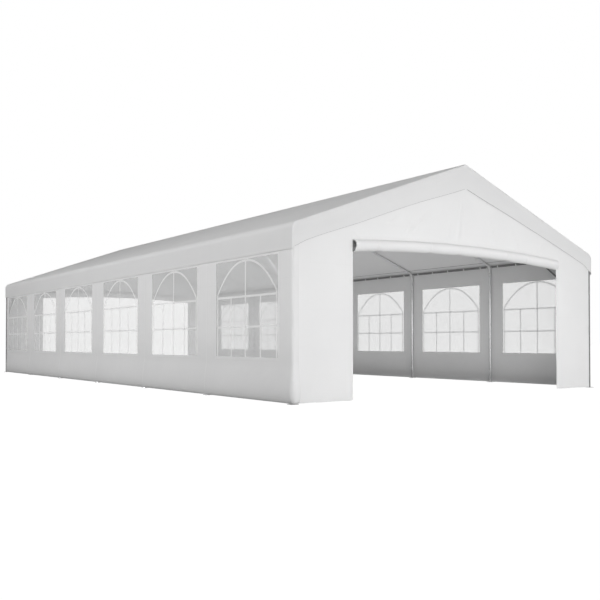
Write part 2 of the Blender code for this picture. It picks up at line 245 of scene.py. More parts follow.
# Each part of a bolt, from washer to thread: its sides, its radius and the heights where it starts and ends
BOLT_PARTS = ((12, 0.0095, 0.0, 0.0016), (6, 0.0065, 0.0016, 0.0066), (8, 0.003, 0.0066, 0.0095))
BOLT_TAPER = 0.96
BOLT_SUNK = 0.0006
SLEEVE_BOLT = 0.06
SOCKET_BOLT = 0.035

# Painted shade and finishes
# Painted shade on the side walls: full at the lower height, gone by the higher one, made uneven, and left off
# the corner flap
LOW_SHADE_FULL_Z = 0.02
LOW_SHADE_END_Z = 1.25
LOW_SHADE_UNEVEN = 0.24
FLAP_UNSHADED_FROM = 0.045
FLAP_BRIGHTNESS = 0.985
WALL_FOLDS = (0.62, 0.49)
GABLE_FOLDS = (0.71, 0.55)
DOOR_FOLDS = (0.71, 0.40)
FOLD_WIDTH = 0.008
STITCH_ROWS = 0.03
STITCH_LENGTH = 0.009
CLOTH_THREAD = 0.0026
TAPE_THREAD = 0.0018
FILM_TINT = (0.97, 0.973, 0.975, 1)
FILM_GLOW = 0.45
STREAK_STRETCH = (5.0, 0.3, 1.0)
JOINT_REACH = 0.07


# Shapes


def steps(start, end, count):
    return [start + (end - start) * i / count for i in range(count + 1)]


def smooth(share):
    share = min(1.0, max(0.0, share))
    return share * share * (3 - 2 * share)


def ripple(x, y, z=0.0):
    """A soft random height between -1 and 1. Places are scaled by the number of swells to a metre."""
    return noise.noise(Vector((x, y, z)))


def full_turn(count):
    return [2 * math.pi * i / count for i in range(count)]


def slope_drop(x, rounding):
    """How far a line under the roof has come down at x, rounded over at the ridge."""
    return SLOPE * math.hypot(x, rounding)


def settled(made):
    """The object with its modifiers applied, as a plain mesh."""
    bpy.context.view_layer.update()
    graph = bpy.context.evaluated_depsgraph_get()
    mesh = bpy.data.meshes.new_from_object(made.evaluated_get(graph))
    made.modifiers.clear()
    made.data = mesh
    mesh.name = made.name
    return made


def shown(name, data):
    made = bpy.data.objects.new(name, data)
    bpy.context.scene.collection.objects.link(made)
    return made


def new_mesh(name, bm):
    mesh = bpy.data.meshes.new(name)
    bm.to_mesh(mesh)
    bm.free()
    return mesh


def patch(point_at, us, vs, skip=None):
    """A grid of the surface point_at(u, v). skip(u, v) says which faces are left out."""
    return (point_at, us, vs, skip)


def band(surface, u_range, v_range, u_count, v_count):
    """A tape on a surface, between two distances each way."""
    return patch(surface, steps(*u_range, u_count), steps(*v_range, v_count))


def cloth_mesh(name, patches, thickness, turn=0.0):
    """A thin closed sheet through all the patches, welded where they meet, with its flat sizes as UV."""
    bm = bmesh.new()
    flat = bm.loops.layers.uv.new("flat")
    for point_at, us, vs, skip in patches:
        rows = [[bm.verts.new(point_at(u, v)) for v in vs] for u in us]
        for i in range(len(us) - 1):
            for j in range(len(vs) - 1):
                if skip and skip((us[i] + us[i + 1]) / 2, (vs[j] + vs[j + 1]) / 2):
                    continue
                places = ((i, j), (i + 1, j), (i + 1, j + 1), (i, j + 1))
                face = bm.faces.new([rows[a][b] for a, b in places])
                face.smooth = True
                for loop, (a, b) in zip(face.loops, places):
                    loop[flat].uv = (us[a], vs[b])
    bmesh.ops.delete(bm, geom=[v for v in bm.verts if not v.link_faces], context="VERTS")
    bmesh.ops.remove_doubles(bm, verts=bm.verts, dist=WELD)
    bmesh.ops.recalc_face_normals(bm, faces=bm.faces)
    bm.normal_update()
    facing_out = sum(face.normal.dot(face.calc_center_median() - INSIDE_POINT) for face in bm.faces)
    if facing_out < 0:
        bmesh.ops.reverse_faces(bm, faces=bm.faces)
    bm.transform(Matrix.Rotation(turn, 4, "Z"))
    made = shown(name, new_mesh(name, bm))
    thicken = made.modifiers.new("thickness", "SOLIDIFY")
    thicken.thickness = thickness
    thicken.offset = 0.0
    settled(made).data.set_sharp_from_angle(angle=HARD_EDGE)
    return made


def lay_flat(made, along):
    """Sets an upright piece's flat sizes from its places: along the X or Y axis (0 or 1), and its height."""
    flat = made.data.uv_layers["flat"]
    for loop in made.data.loops:
        spot = made.data.vertices[loop.vertex_index].co
        flat.data[loop.index].uv = (spot[along], spot.z)


def lifted(point_at, lift, du=0.004, dv=0.004):
    """The same surface moved outwards by lift."""

    def raised(u, v):
        here = point_at(u, v)
        along_u = point_at(u + du, v) - point_at(u - du, v)
        along_v = point_at(u, v + dv) - point_at(u, v - dv)
        out = along_u.cross(along_v).normalized()
        if out.dot(here - INSIDE_POINT) < 0:
            out = -out
        return here + out * lift

    return raised


def dressed(made, material, slot, *nodes):
    """A finished piece: its material, its finish slot (not used), the CAD nodes that it stands for and its
    body.
    """
    made.data.materials.clear()
    made.data.materials.append(material)
    if nodes:
        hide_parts(*nodes)
    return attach(made, "root")


# Finishes


def new_finish(name):
    made = bpy.data.materials.new(name)
    made.use_nodes = True
    return made, made.node_tree, made.node_tree.nodes["Principled BSDF"]


def feed(tree, node, **values):
    """Sets a node's inputs. A value is a number or colour for an input, or the socket that feeds it."""
    for name, value in values.items():
        key = int(name[1:]) if name[0] == "_" else name.replace("_", " ")
        if isinstance(value, bpy.types.NodeSocket):
            tree.links.new(value, node.inputs[key])
        else:
            node.inputs[key].default_value = value
    return node


def add(tree, kind, **values):
    return feed(tree, tree.nodes.new(kind), **values)


def maths(tree, operation, first, second=0.0, third=0.0):
    made = add(tree, "ShaderNodeMath", _0=first, _1=second, _2=third)
    made.operation = operation
    return made.outputs[0]


def grey(shade, blue=1.0):
    return (shade, shade, shade * blue, 1)


def blend(tree, share, first, second):
    """The first colour, with a share of the second."""
    made = tree.nodes.new("ShaderNodeMix")
    made.data_type = "RGBA"
    feed(tree, made, _0=share, _6=first, _7=second)
    return made.outputs[2]


def mix_shaders(tree, share, first, second):
    return add(tree, "ShaderNodeMixShader", _0=share, _1=first, _2=second).outputs[0]


def lit_through(tree, share, surface, colour, **shape):
    """The surface, with a share of the light from behind shining through it."""
    glow = add(tree, "ShaderNodeBsdfTranslucent", Color=colour, **shape)
    return mix_shaders(tree, share, surface, glow.outputs[0])


def set_surface(tree, surface, output="Material Output"):
    tree.links.new(surface, tree.nodes[output].inputs["Surface"])


def own_place(tree):
    """The place on the piece in metres."""
    return add(tree, "ShaderNodeTexCoord").outputs["Object"]


def flat_place(tree):
    """The place on the flat cloth in metres, as a vector and as its two parts."""
    source = tree.nodes.new("ShaderNodeUVMap")
    source.uv_map = "flat"
    split = add(tree, "ShaderNodeSeparateXYZ", Vector=source.outputs[0])
    return source.outputs[0], split.outputs[0], split.outputs[1]


def clouds(tree, place, scale, detail, roughness=0.5):
    """Soft random patches from 0 to 1, as many to a metre as scale says."""
    made = add(tree, "ShaderNodeTexNoise", Vector=place, Scale=scale, Detail=detail, Roughness=roughness)
    return made.outputs["Fac"]


def threads(tree, place, direction, pitch):
    """Rounded threads side by side, one every pitch."""
    made = add(tree, "ShaderNodeTexWave", Vector=place, Scale=math.pi / 10 / pitch)
    made.bands_direction = direction
    return made.outputs["Fac"]


def weave(tree, place, pitch):
    return maths(tree, "MULTIPLY", threads(tree, place, "X", pitch), threads(tree, place, "Y", pitch))


def fade(tree, value, start, end, low, high, kind="SMOOTHSTEP"):
    """low where the value is at start, high where it is at end, and a soft change between them."""
    made = add(tree, "ShaderNodeMapRange", Value=value, _1=start, _2=end, _3=low, _4=high)
    made.interpolation_type = kind
    return made.outputs[0]


def line_mask(tree, along, spacing, width):
    """1 on lines that repeat every spacing, and 0 between them."""
    return fade(tree, maths(tree, "PINGPONG", along, spacing / 2), 0.0, width, 1.0, 0.0)


def varied(tree, factor, low, high):
    """A value between low and high, by a random factor, which seldom leaves its middle half."""
    return fade(tree, factor, 0.25, 0.75, low, high, "LINEAR")


def bump(tree, height, distance, strength, below=None):
    made = add(tree, "ShaderNodeBump", Height=height, Distance=distance, Strength=strength)
    if below is not None:
        feed(tree, made, Normal=below)
    return made.outputs[0]


def low_shaded(tree, colour, along, height, cloudy, low_shade):
    """The colour darkened towards the ground as painted shade, by at most the given share. The corner flap is
    left without it.
    """
    if not low_shade:
        return colour
    uneven = maths(tree, "MULTIPLY_ADD", cloudy, LOW_SHADE_UNEVEN, height)
    # The scale of the painted shade, lowest near the ground
    base_tone = fade(tree, uneven, LOW_SHADE_FULL_Z, LOW_SHADE_END_Z, 1.0 - low_shade, 1.0, "SMOOTHERSTEP")
    flap = fade(tree, along, 0.0, -FLAP_UNSHADED_FROM, 0.0, 1.0)
    to_flap = maths(tree, "SUBTRACT", FLAP_BRIGHTNESS, base_tone)
    scale = maths(tree, "MULTIPLY_ADD", flap, to_flap, base_tone)
    tinted = add(tree, "ShaderNodeVectorMath", _0=colour, _3=scale)
    tinted.operation = "SCALE"
    return tinted.outputs[0]


def tarpaulin(name, shade, see_through, folds=WALL_FOLDS, crumple=0.004, low_shade=0.0):
    """Coated woven cloth: threads under a soft coat, packing folds with painted shade along them, crumples, and
    some light through it. It can also take painted shade towards the ground.
    """
    made, tree, shader = new_finish(name)
    place, along, across = flat_place(tree)
    cloudy = clouds(tree, place, scale=1.1, detail=5.0, roughness=0.6)
    fine = clouds(tree, place, scale=9.0, detail=6.0, roughness=0.55)
    long_folds = line_mask(tree, along, folds[0], FOLD_WIDTH)
    cross_folds = line_mask(tree, across, folds[1], FOLD_WIDTH)
    fold_lines = maths(tree, "MULTIPLY", maths(tree, "MAXIMUM", long_folds, cross_folds), cloudy)
    soft = bump(tree, cloudy, crumple * 4, 0.35)
    creased = bump(tree, fine, crumple, 0.25, soft)
    folded = bump(tree, fold_lines, 0.0012, 0.35, creased)
    base_tone = blend(tree, varied(tree, cloudy, 0.0, 1.0), grey(shade * 0.955, 1.004), grey(shade))
    # Painted shade along the packing fold lines
    fold_shaded = blend(tree, maths(tree, "MULTIPLY", fold_lines, 0.5), base_tone, grey(shade * 0.93))
    feed(
        tree, shader,
        Base_Color=low_shaded(tree, fold_shaded, along, across, cloudy, low_shade),
        Roughness=varied(tree, fine, 0.48, 0.62),
        Normal=bump(tree, weave(tree, place, CLOTH_THREAD), 0.0002, 0.5, folded),
        Specular_IOR_Level=0.35,
        Sheen_Weight=0.08,
    )
    set_surface(tree, lit_through(tree, see_through, shader.outputs[0], grey(shade), Normal=folded))
    return made


def stitched_tape(name, shade, see_through, low_shade=0.0, clear=0.0):
    """A smooth welded tape, stitched near each edge. clear lets what is behind show through."""
    made, tree, shader = new_finish(name)
    place, along, across = flat_place(tree)
    row = line_mask(tree, across, STITCH_ROWS, 0.0016)
    dash = line_mask(tree, along, STITCH_LENGTH, 0.003)
    stitches = maths(tree, "MULTIPLY", row, dash)
    cloudy = clouds(tree, place, scale=3.0, detail=4.0)
    sewn = bump(tree, stitches, 0.0008, 0.7, bump(tree, cloudy, 0.003, 0.3))
    colour = blend(tree, maths(tree, "MULTIPLY", stitches, 0.6), grey(shade), grey(shade * 0.8))
    feed(
        tree, shader,
        Base_Color=low_shaded(tree, colour, along, across, cloudy, low_shade),
        Roughness=varied(tree, cloudy, 0.42, 0.55),
        Normal=bump(tree, weave(tree, place, TAPE_THREAD), 0.00015, 0.5, sewn),
    )
    surface = lit_through(tree, see_through, shader.outputs[0], grey(shade))
    if clear:
        surface = mix_shaders(tree, clear, surface, add(tree, "ShaderNodeBsdfTransparent").outputs[0])
    set_surface(tree, surface)
    return made


def clear_film(name, haze):
    """Soft clear film: slightly milky, glossy, with faint upright streaks from the roll that it came on."""
    made, tree, shader = new_finish(name)
    place, _, _ = flat_place(tree)
    stretched = add(tree, "ShaderNodeMapping", Vector=place, Scale=STREAK_STRETCH).outputs[0]
    streaks = clouds(tree, stretched, scale=1.0, detail=1.0)
    dimpled = bump(tree, clouds(tree, place, scale=1.6, detail=2.0), 0.002, 0.02)
    feed(
        tree, shader,
        Base_Color=FILM_TINT,
        Roughness=varied(tree, streaks, 0.19, 0.21),
        Normal=bump(tree, streaks, 0.0001, 0.015, dimpled),
        Specular_IOR_Level=0.25,
    )
    milky = lit_through(tree, FILM_GLOW, shader.outputs[0], FILM_TINT)
    clear = add(tree, "ShaderNodeBsdfTransparent").outputs[0]
    set_surface(tree, mix_shaders(tree, varied(tree, streaks, haze * 0.99, haze * 1.01), clear, milky))
    return made


def coated_tube(name, shade, metal, roughness, spangle, joint_shade=None):
    """Zinc-coated steel tube: fine speckle and uneven gloss. Its joints at the frames can be brighter, where
    the rest of the tube is a copy painted dark as shade.
    """
    made, tree, shader = new_finish(name)
    place = own_place(tree)
    specks = add(tree, "ShaderNodeTexVoronoi", Vector=place, Scale=140.0).outputs["Distance"]
    cloudy = clouds(tree, place, scale=18.0, detail=5.0)
    colour = blend(tree, varied(tree, cloudy, 0.0, 1.0), grey(shade * (1 - spangle), 1.02), grey(shade, 1.01))
    if joint_shade:
        along = add(tree, "ShaderNodeSeparateXYZ", Vector=place).outputs[1]
        colour = blend(tree, line_mask(tree, along, BAY_LENGTH, JOINT_REACH), colour, grey(joint_shade))
    feed(
        tree, shader,
        Base_Color=colour,
        Roughness=varied(tree, cloudy, roughness * 0.8, roughness * 1.25),
        Normal=bump(tree, specks, 0.0001, 0.12, bump(tree, cloudy, 0.0002, 0.08)),
        Metallic=metal,
    )
    return made


def moulded(name, shade, roughness):
    """Moulded plastic or cord: faint grain and mottling."""
    made, tree, shader = new_finish(name)
    grain = clouds(tree, own_place(tree), scale=350.0, detail=3.0)
    feed(
        tree, shader,
        Base_Color=blend(tree, varied(tree, grain, 0.0, 1.0), grey(shade * 0.92, 0.989), grey(shade)),
        Roughness=varied(tree, grain, roughness * 0.85, roughness * 1.15),
        Normal=bump(tree, grain, 0.0003, 0.4),
    )
    return made


ROOF_CLOTH = tarpaulin("roof_tarpaulin", shade=0.86, see_through=0.24)
# The side walls' cloth and tapes take painted shade towards the ground
WALL_CLOTH = tarpaulin("wall_tarpaulin", shade=0.80, see_through=0.06, low_shade=0.15)
GABLE_CLOTH = tarpaulin("gable_tarpaulin", shade=0.88, see_through=0.20, folds=GABLE_FOLDS, crumple=0.005)
DOOR_CLOTH = tarpaulin("door_tarpaulin", shade=0.87, see_through=0.15, folds=DOOR_FOLDS, crumple=0.006)
ROOF_TAPE = stitched_tape("roof_tape", shade=0.87, see_through=0.25)
WALL_TAPE = stitched_tape("wall_tape", shade=0.81, see_through=0.06, low_shade=0.15)
GABLE_TAPE = stitched_tape("gable_tape", shade=0.87, see_through=0.20)
# Painted shadow: a dark strip for the shadow line along each eave and under the gable valances' hems
SHADOW_STRIP = stitched_tape("seam_welt", shade=0.42, see_through=0.05)
WINDOW_FILM = clear_film("clear_film", haze=0.29)
WINDOW_BAR = stitched_tape("window_bar", shade=0.95, see_through=0.15, clear=0.45)
TUBE = coated_tube("bright_tube", shade=0.88, metal=0.88, roughness=0.20, spangle=0.07)
# Painted light: a less glossy copy of the tube coat, set for the light on the rafters and ridge pole
RAFTER_LIT_TUBE = coated_tube("dull_tube", shade=0.74, metal=0.20, roughness=0.45, spangle=0.08)
# Painted shade: the eave poles are a dark copy of the tube coat, with a brighter colour kept at the joints by
# the frames
EAVE_SHADED_TUBE = coated_tube("dark_tube", shade=0.24, metal=0.30, roughness=0.40, spangle=0.12, joint_shade=0.80)
# Painted shade: a dark copy of the tube coat for the corner legs and two corner braces
CORNER_SHADED_TUBE = coated_tube("corner_tube", shade=0.22, metal=0.30, roughness=0.45, spangle=0.12)
# Painted light: a lighter, nearly matt copy of the tube coat for the corner braces
BRACE_LIT_TUBE = coated_tube("brace_tube", shade=0.97, metal=0.05, roughness=0.35, spangle=0.03)
BOLT = coated_tube("bright_bolt", shade=0.70, metal=0.90, roughness=0.28, spangle=0.2)
BALL = moulded("tie_ball", shade=0.84, roughness=0.35)
CORD = moulded("elastic_cord", shade=0.78, roughness=0.6)


# Roof cover

RIDGE_ARC = ROOF_RADIUS * PITCH
EAVE_ARC = EAVE_RADIUS * (math.pi / 2 - PITCH)
SLOPE_RUN = (EAVE_CENTRE_X + (EAVE_RADIUS - ROOF_RADIUS) * math.sin(PITCH)) / math.cos(PITCH)
EAVE_START = RIDGE_ARC + SLOPE_RUN
EAVE_END = EAVE_START + EAVE_ARC
RIM_X = EAVE_CENTRE_X + EAVE_RADIUS - RIM_RADIUS
CORNER_HEM_Z = RAKE_HEM_APEX_Z - SLOPE * RIM_X
CORNER_DROP = EAVE_CENTRE_Z - CORNER_HEM_Z
VALANCE_END = EAVE_END + EAVE_CENTRE_Z - VALANCE_BOTTOM_Z
RIM_START = RAKE_Y - RIM_RADIUS
RIM_END = RIM_START + RIM_RADIUS * math.pi / 2
INNER_LENGTH = (RIM_GAP - RIM_START, RIM_START - RIM_GAP)


def roof_line(across, inset=0.0):
    """The place (x, z) and outward direction on the roof's cross-section, by the distance from the ridge."""
    side = 1 if across >= 0 else -1
    run = abs(across)
    if run <= RIDGE_ARC:
        angle = run / ROOF_RADIUS
        radius, centre = ROOF_RADIUS - inset, (0.0, APEX_Z)
    elif run <= EAVE_START:
        start = Vector((ROOF_RADIUS * math.sin(PITCH), APEX_Z + ROOF_RADIUS * math.cos(PITCH)))
        down = Vector((math.cos(PITCH), -math.sin(PITCH)))
        out = Vector((math.sin(PITCH), math.cos(PITCH)))
        spot = start + down * (run - RIDGE_ARC) - out * inset
        return side * spot.x, spot.y, side * out.x, out.y
    elif run <= EAVE_END:
        angle = PITCH + (run - EAVE_START) / EAVE_RADIUS
        radius, centre = EAVE_RADIUS - inset, (EAVE_CENTRE_X, EAVE_CENTRE_Z)
    else:
        x = EAVE_CENTRE_X + EAVE_RADIUS - inset
        return side * x, EAVE_CENTRE_Z - (run - EAVE_END), side, 0.0
    x = centre[0] + radius * math.sin(angle)
    z = centre[1] + radius * math.cos(angle)
    return side * x, z, side * math.sin(angle), math.cos(angle)


def bay_sag(across, y):
    """How far the cloth hangs in between two rafters, most halfway down the slope."""
    run = abs(across)
    if run >= EAVE_START or abs(y) >= HALF_LENGTH:
        return 0.0
    between = math.sin(math.pi * ((y + HALF_LENGTH) % BAY_LENGTH) / BAY_LENGTH) ** 2
    down = math.sin(math.pi * smooth(run / EAVE_START)) ** 0.8
    uneven = 1.0 + 0.35 * ripple(across * 0.7, y * 0.5, 3.1)
    return BAY_SAG * between * down * uneven


def valance_wave(across, y):
    """How far a side valance stands out, more towards its hem and nothing at the corners."""
    hang = (abs(across) - EAVE_END) / (VALANCE_END - EAVE_END)
    if hang <= 0:
        return 0.0
    corner = smooth((RIM_START - abs(y)) / VALANCE_CORNER)
    side = 7.0 if across > 0 else 2.0
    swell = 0.55 + 0.9 * ripple(y * 1.35, side) + 0.35 * ripple(y * 4.1, side + 4, hang)
    return VALANCE_WAVE * corner * smooth(hang) * swell


def roof_point(across, along):
    """A point of the main roof cloth. along runs from rim to rim, over the rounded edges at both gables."""
    past = max(0.0, abs(along) - RIM_START)
    angle = past / RIM_RADIUS
    inset = RIM_RADIUS * (1 - math.cos(angle))
    y = math.copysign(min(abs(along), RIM_START) + RIM_RADIUS * math.sin(angle), along)
    x, z, out_x, out_z = roof_line(across, inset)
    push = valance_wave(across, y) - bay_sag(across, y)
    return Vector((x + out_x * push, y, z + out_z * push))


def hem_lift(x):
    """How far the gable valance's hem rides up over the doorway's sides. It stays down at the corners."""
    rise = sum(lift * smooth((side * x - start) / run) for side, lift, start, run in HEM_LIFTS)
    return rise * smooth((RIM_X - abs(x)) / HEM_CORNER)


def rake_point(across, drop):
    """A point of the front gable's valance, from the rim at drop 0 down to its hem at 1."""
    x, top_z, _, _ = roof_line(across, RIM_RADIUS)
    hem_z = RAKE_HEM_APEX_Z - slope_drop(x, RAKE_ROUNDING)
    hem_z += hem_lift(x) - RAKE_DIP * math.exp(-((x / RAKE_DIP_REACH) ** 2))
    corner = smooth((RIM_X - abs(x)) / RAKE_CORNER)
    swell = 0.75 + 0.8 * ripple(x * 1.2, 11.0) + 0.3 * ripple(x * 4.0, 15.0, drop)
    lean = RAKE_LEAN_LEFT + (RAKE_LEAN_RIGHT - RAKE_LEAN_LEFT) * smooth((x + 0.2) / 0.5)
    inwards = lean * corner * smooth(drop) * min(1.0, 0.75 + 0.25 * swell)
    apex = math.exp(-((x / RAKE_CREASE_REACH) ** 2))
    folds = math.sin(drop * 19 + 2.5 * ripple(x * 2, 5.0)) * math.sin(math.pi * drop)
    outwards = max(-RAKE_HOLLOW, RAKE_CREASE * apex * folds)
    return Vector((x, -RAKE_Y + inwards - outwards, top_z + (hem_z - top_z) * drop))


def roof_runs(valance=True):
    """Distances from the ridge for the rows of the roof cloth, on the right half."""
    runs = steps(0, RIDGE_ARC, 2)[:-1] + steps(RIDGE_ARC, EAVE_START, ROOF_SLOPE_STEPS)[:-1]
    runs += steps(EAVE_START, EAVE_END, ROOF_EAVE_STEPS)
    if valance:
        runs += steps(EAVE_END, EAVE_END + CORNER_DROP, VALANCE_STEPS)[1:] + [VALANCE_END]
    return runs


def mirrored(values):
    return [-value for value in reversed(values[1:])] + values


def long_rows():
    inner = [y for i in range(BAYS) for y in steps(FRAME_YS[i], FRAME_YS[i + 1], ROOF_LONG_STEPS)[:-1]]
    rims = steps(RIM_START, RIM_END, 3)
    return [-y for y in reversed(rims)] + inner + [HALF_LENGTH] + rims


def make_roof_cover():
    """One cloth for both slopes and all four valances."""
    acrosses = mirrored(roof_runs())
    roof_acrosses = mirrored(roof_runs(valance=False))
    drops = steps(0.0, 1.0, VALANCE_STEPS)

    def back_rake_point(across, drop):
        front = rake_point(-across, drop)
        return Vector((-front.x, -front.y, front.z))

    patches = [
        patch(roof_point, acrosses, long_rows()),
        patch(rake_point, roof_acrosses, drops),
        patch(back_rake_point, roof_acrosses, drops),
    ]
    cover = cloth_mesh("roof_cover_cloth", patches, CLOTH)
    dressed(cover, ROOF_CLOTH, "roof_cloth", "roof_cover")
    return cover


def make_roof_welts():
    """A welt along each eave, on the underside of the roof, just inside the eave pole. Its dark colour is
    painted shadow along the eave.
    """
    inside = lifted(roof_point, -CLOTH - WELT / 2)
    start = EAVE_START - WELT_INSET
    welts = [
        band(inside, (side * start, side * (start + WELT_WIDTH)), INNER_LENGTH, 2, 144) for side in (-1, 1)
    ]
    return dressed(cloth_mesh("roof_eave_welts", welts, WELT), SHADOW_STRIP, "roof_cloth")


def make_roof_tapes():
    """Tapes over the rafters and along the ridge, and the hems of the side valances."""
    outside = lifted(roof_point, CLOTH)
    half = SEAM_TAPE / 2
    tapes = []
    for y in FRAME_YS[1:-1]:
        for side in (-1, 1):
            slope = (side * SEAM_TAPE_START, side * EAVE_START)
            tapes.append(band(outside, slope, (y - half, y + half), 60, 2))
    ridge = (-RIDGE_TAPE_HALF, RIDGE_TAPE_HALF)
    tapes.append(band(outside, ridge, (-RIM_START, RIM_START), 8, 144))
    for side in (-1, 1):
        hem = (side * (VALANCE_END - EDGE_GAP), side * (VALANCE_END - VALANCE_HEM))
        tapes.append(band(outside, hem, INNER_LENGTH, 2, 180))
    return dressed(cloth_mesh("roof_seam_tapes", tapes, TAPE), ROOF_TAPE, "roof_cloth")


def make_rake_hem_shadows():
    """A narrow grey band along the hems of the gable valances: painted shadow under the hems' edges."""
    outside = lifted(rake_point, CLOTH)
    reach = EAVE_END - HEM_SHADOW_EAVE_GAP
    fronts = [
        band(outside, (-reach, -HEM_SHADOW_RIDGE_GAP), (1.0 - HEM_SHADOW_LEFT_SHARE, HEM_SHADOW_END), 110, 1),
        band(outside, (HEM_SHADOW_RIDGE_GAP, reach), (1.0 - HEM_SHADOW_SHARE, HEM_SHADOW_END), 110, 1),
    ]
    hem_shadows = []
    for label, turn in FRONT_AND_BACK:
        hem_shadow = cloth_mesh(f"{label}_rake_piping", fronts, TAPE, turn)
        hem_shadows.append(dressed(hem_shadow, SHADOW_STRIP, "roof_cloth"))
    return hem_shadows


# Side walls

CORNER_ARC = CORNER_RADIUS * math.pi / 2
FLAP_END = -CORNER_ARC - FLAP
WALL_LENGTH = WALL_END_Y - CORNER_CENTRE.y
TUCK_START = TUCK_START_Y - CORNER_CENTRE.y


def skirt_bulge(z, y):
    """How far the loose skirt stands out: nothing above it, most low down, nothing at the hem."""
    if z >= SKIRT_TOP_Z:
        return 0.0
    share = (z - WALL_BOTTOM_Z) / (SKIRT_TOP_Z - WALL_BOTTOM_Z)
    rise = max(0.0, math.sin(math.pi * max(0.0, share) ** 0.55)) ** 1.2
    before_end = min(1.0, max(0.0, (WALL_END_Y - y) / SKIRT_FADE))
    uneven = 1.0 + 0.10 * ripple(y * 0.9, 21.0)
    return SKIRT_BULGE * rise * before_end * min(1.0, uneven)


def wall_wave(z, y):
    """Soft hollows and swells of the wall, held flat near its ends and its top."""
    below_top = smooth((WALL_TOP_Z - WALL_TOP_HELD - z) / WAVE_FADE)
    held = below_top * smooth((WALL_END_Y - y) / WAVE_FADE) * smooth((y + HALF_LENGTH) / WAVE_FADE)
    swell = ripple(y * 1.1, z * 0.8, 31.0) + 0.12 * ripple(y * 5.0, z * 1.2, 35.0)
    return WALL_WAVE * held * swell


def end_tuck(z, y):
    """How far the wall's free end turns in behind the last leg, below the eave pole's connector."""
    along = smooth((y - TUCK_START_Y) / (WALL_END_Y - TUCK_START_Y))
    return TUCK * along * smooth((TUCK_TOP_Z - z) / TUCK_FADE)


def wall_point(along, z):
    """A point of the left wall. along is 0 where the corner ends, and negative round it and on the flap."""
    if along >= 0:
        y = CORNER_CENTRE.y + along
        if z > WALL_TOP_Z:
            radius = WALL_X - EAVE_CENTRE_X
            angle = (z - WALL_TOP_Z) / radius
            out = Vector((-math.cos(angle), 0, math.sin(angle)))
            return Vector((-EAVE_CENTRE_X, y, EAVE_CENTRE_Z)) + out * radius
        push = skirt_bulge(z, y) + wall_wave(z, y) - end_tuck(z, y)
        return Vector((-WALL_X - push, y, z))
    push = skirt_bulge(z, -HALF_LENGTH)
    if along >= -CORNER_ARC:
        angle = math.pi * 1.5 - math.pi / 2 * (1 + along / CORNER_ARC)
        out = Vector((math.cos(angle), math.sin(angle), 0))
        return CORNER_CENTRE + out * (CORNER_RADIUS + push) + Vector((0, 0, z))
    reach = -CORNER_ARC - along
    laid = FLAP_LAID * smooth(reach / FLAP)
    return Vector((CORNER_CENTRE.x + reach, CORNER_CENTRE.y - CORNER_RADIUS - push + laid, z))


def window_edges(middle):
    """Where a window starts and ends along the wall, from where the corner ends."""
    return middle - WINDOW_HALF - CORNER_CENTRE.y, middle + WINDOW_HALF - CORNER_CENTRE.y


def in_window(along, z):
    y = CORNER_CENTRE.y + along
    if not WINDOW_BOTTOM_Z < z < WINDOW_TOP_Z:
        return False
    return any(abs(y - middle) < WINDOW_HALF for middle in BAY_MIDDLES)


def wall_columns():
    columns = steps(FLAP_END, -CORNER_ARC, 3)[:-1] + steps(-CORNER_ARC, 0, 8)[:-1]
    edges = [0.0, *(edge for middle in BAY_MIDDLES for edge in window_edges(middle)), TUCK_START]
    for start, end in zip(edges, edges[1:]):
        columns += steps(start, end, max(3, round((end - start) / WALL_COLUMN)))[:-1]
    return columns + steps(TUCK_START, WALL_LENGTH, TUCK_STEPS)


def wall_rows():
    shares = [(i / SKIRT_STEPS) ** 1.5 for i in range(SKIRT_STEPS)]
    rows = [WALL_BOTTOM_Z + (SKIRT_TOP_Z - WALL_BOTTOM_Z) * share for share in shares]
    rows += [SKIRT_TOP_Z] + steps(WINDOW_BOTTOM_Z, WINDOW_TOP_Z, WINDOW_ROWS)[:-1]
    return rows + steps(WINDOW_TOP_Z, WALL_TOP_Z, 5)


def film_point(along, z):
    return wall_point(along, z) + Vector((FILM_INSET, 0, 0))


def wall_tape_bands():
    """Tapes round the windows, over the legs, and along the hem, on the outside of the left wall."""
    outside = lifted(wall_point, CLOTH)
    low, high = WINDOW_BOTTOM_Z - WINDOW_TAPE, WINDOW_TOP_Z + WINDOW_TAPE
    tapes = []
    for middle in BAY_MIDDLES:
        left, right = window_edges(middle)
        tapes.append(band(outside, (left - WINDOW_TAPE, left), (low, high), 1, 24))
        tapes.append(band(outside, (right, right + WINDOW_TAPE), (low, high), 1, 24))
        tapes.append(band(outside, (left, right), (low, WINDOW_BOTTOM_Z), WINDOW_COLUMNS, 1))
        tapes.append(band(outside, (left, right), (WINDOW_TOP_Z, high), WINDOW_COLUMNS, 1))
    upright = (HEM_TAPE + LEG_TAPE_LOW_GAP, WALL_TOP_Z - LEG_TAPE_HIGH_GAP)
    for y in FRAME_YS[1:-1]:
        middle = y - CORNER_CENTRE.y
        tapes.append(band(outside, (middle - LEG_TAPE_HALF, middle + LEG_TAPE_HALF), upright, 1, 40))
    hem = (WALL_BOTTOM_Z + EDGE_GAP, WALL_BOTTOM_Z + HEM_TAPE)
    tapes.append(band(outside, (0.0, TUCK_START), hem, 170, 4))
    tapes.append(band(outside, (TUCK_START, WALL_LENGTH), hem, TUCK_STEPS, 4))
    return tapes


def make_side_wall(label, turn):
    columns = wall_columns()
    upper = [column for column in columns if column >= 0]
    patches = [
        patch(wall_point, columns, wall_rows(), in_window),
        patch(wall_point, upper, steps(WALL_TOP_Z, WALL_TOP_Z + WALL_TOP_WRAP, 5)),
    ]
    wall = cloth_mesh(f"{label}_wall_cloth", patches, CLOTH, turn)
    dressed(wall, WALL_CLOTH, "wall_cloth", f"{label}_wall")
    tapes = cloth_mesh(f"{label}_wall_tapes", wall_tape_bands(), TAPE, turn)
    dressed(tapes, WALL_TAPE, "wall_cloth")
    return wall, tapes


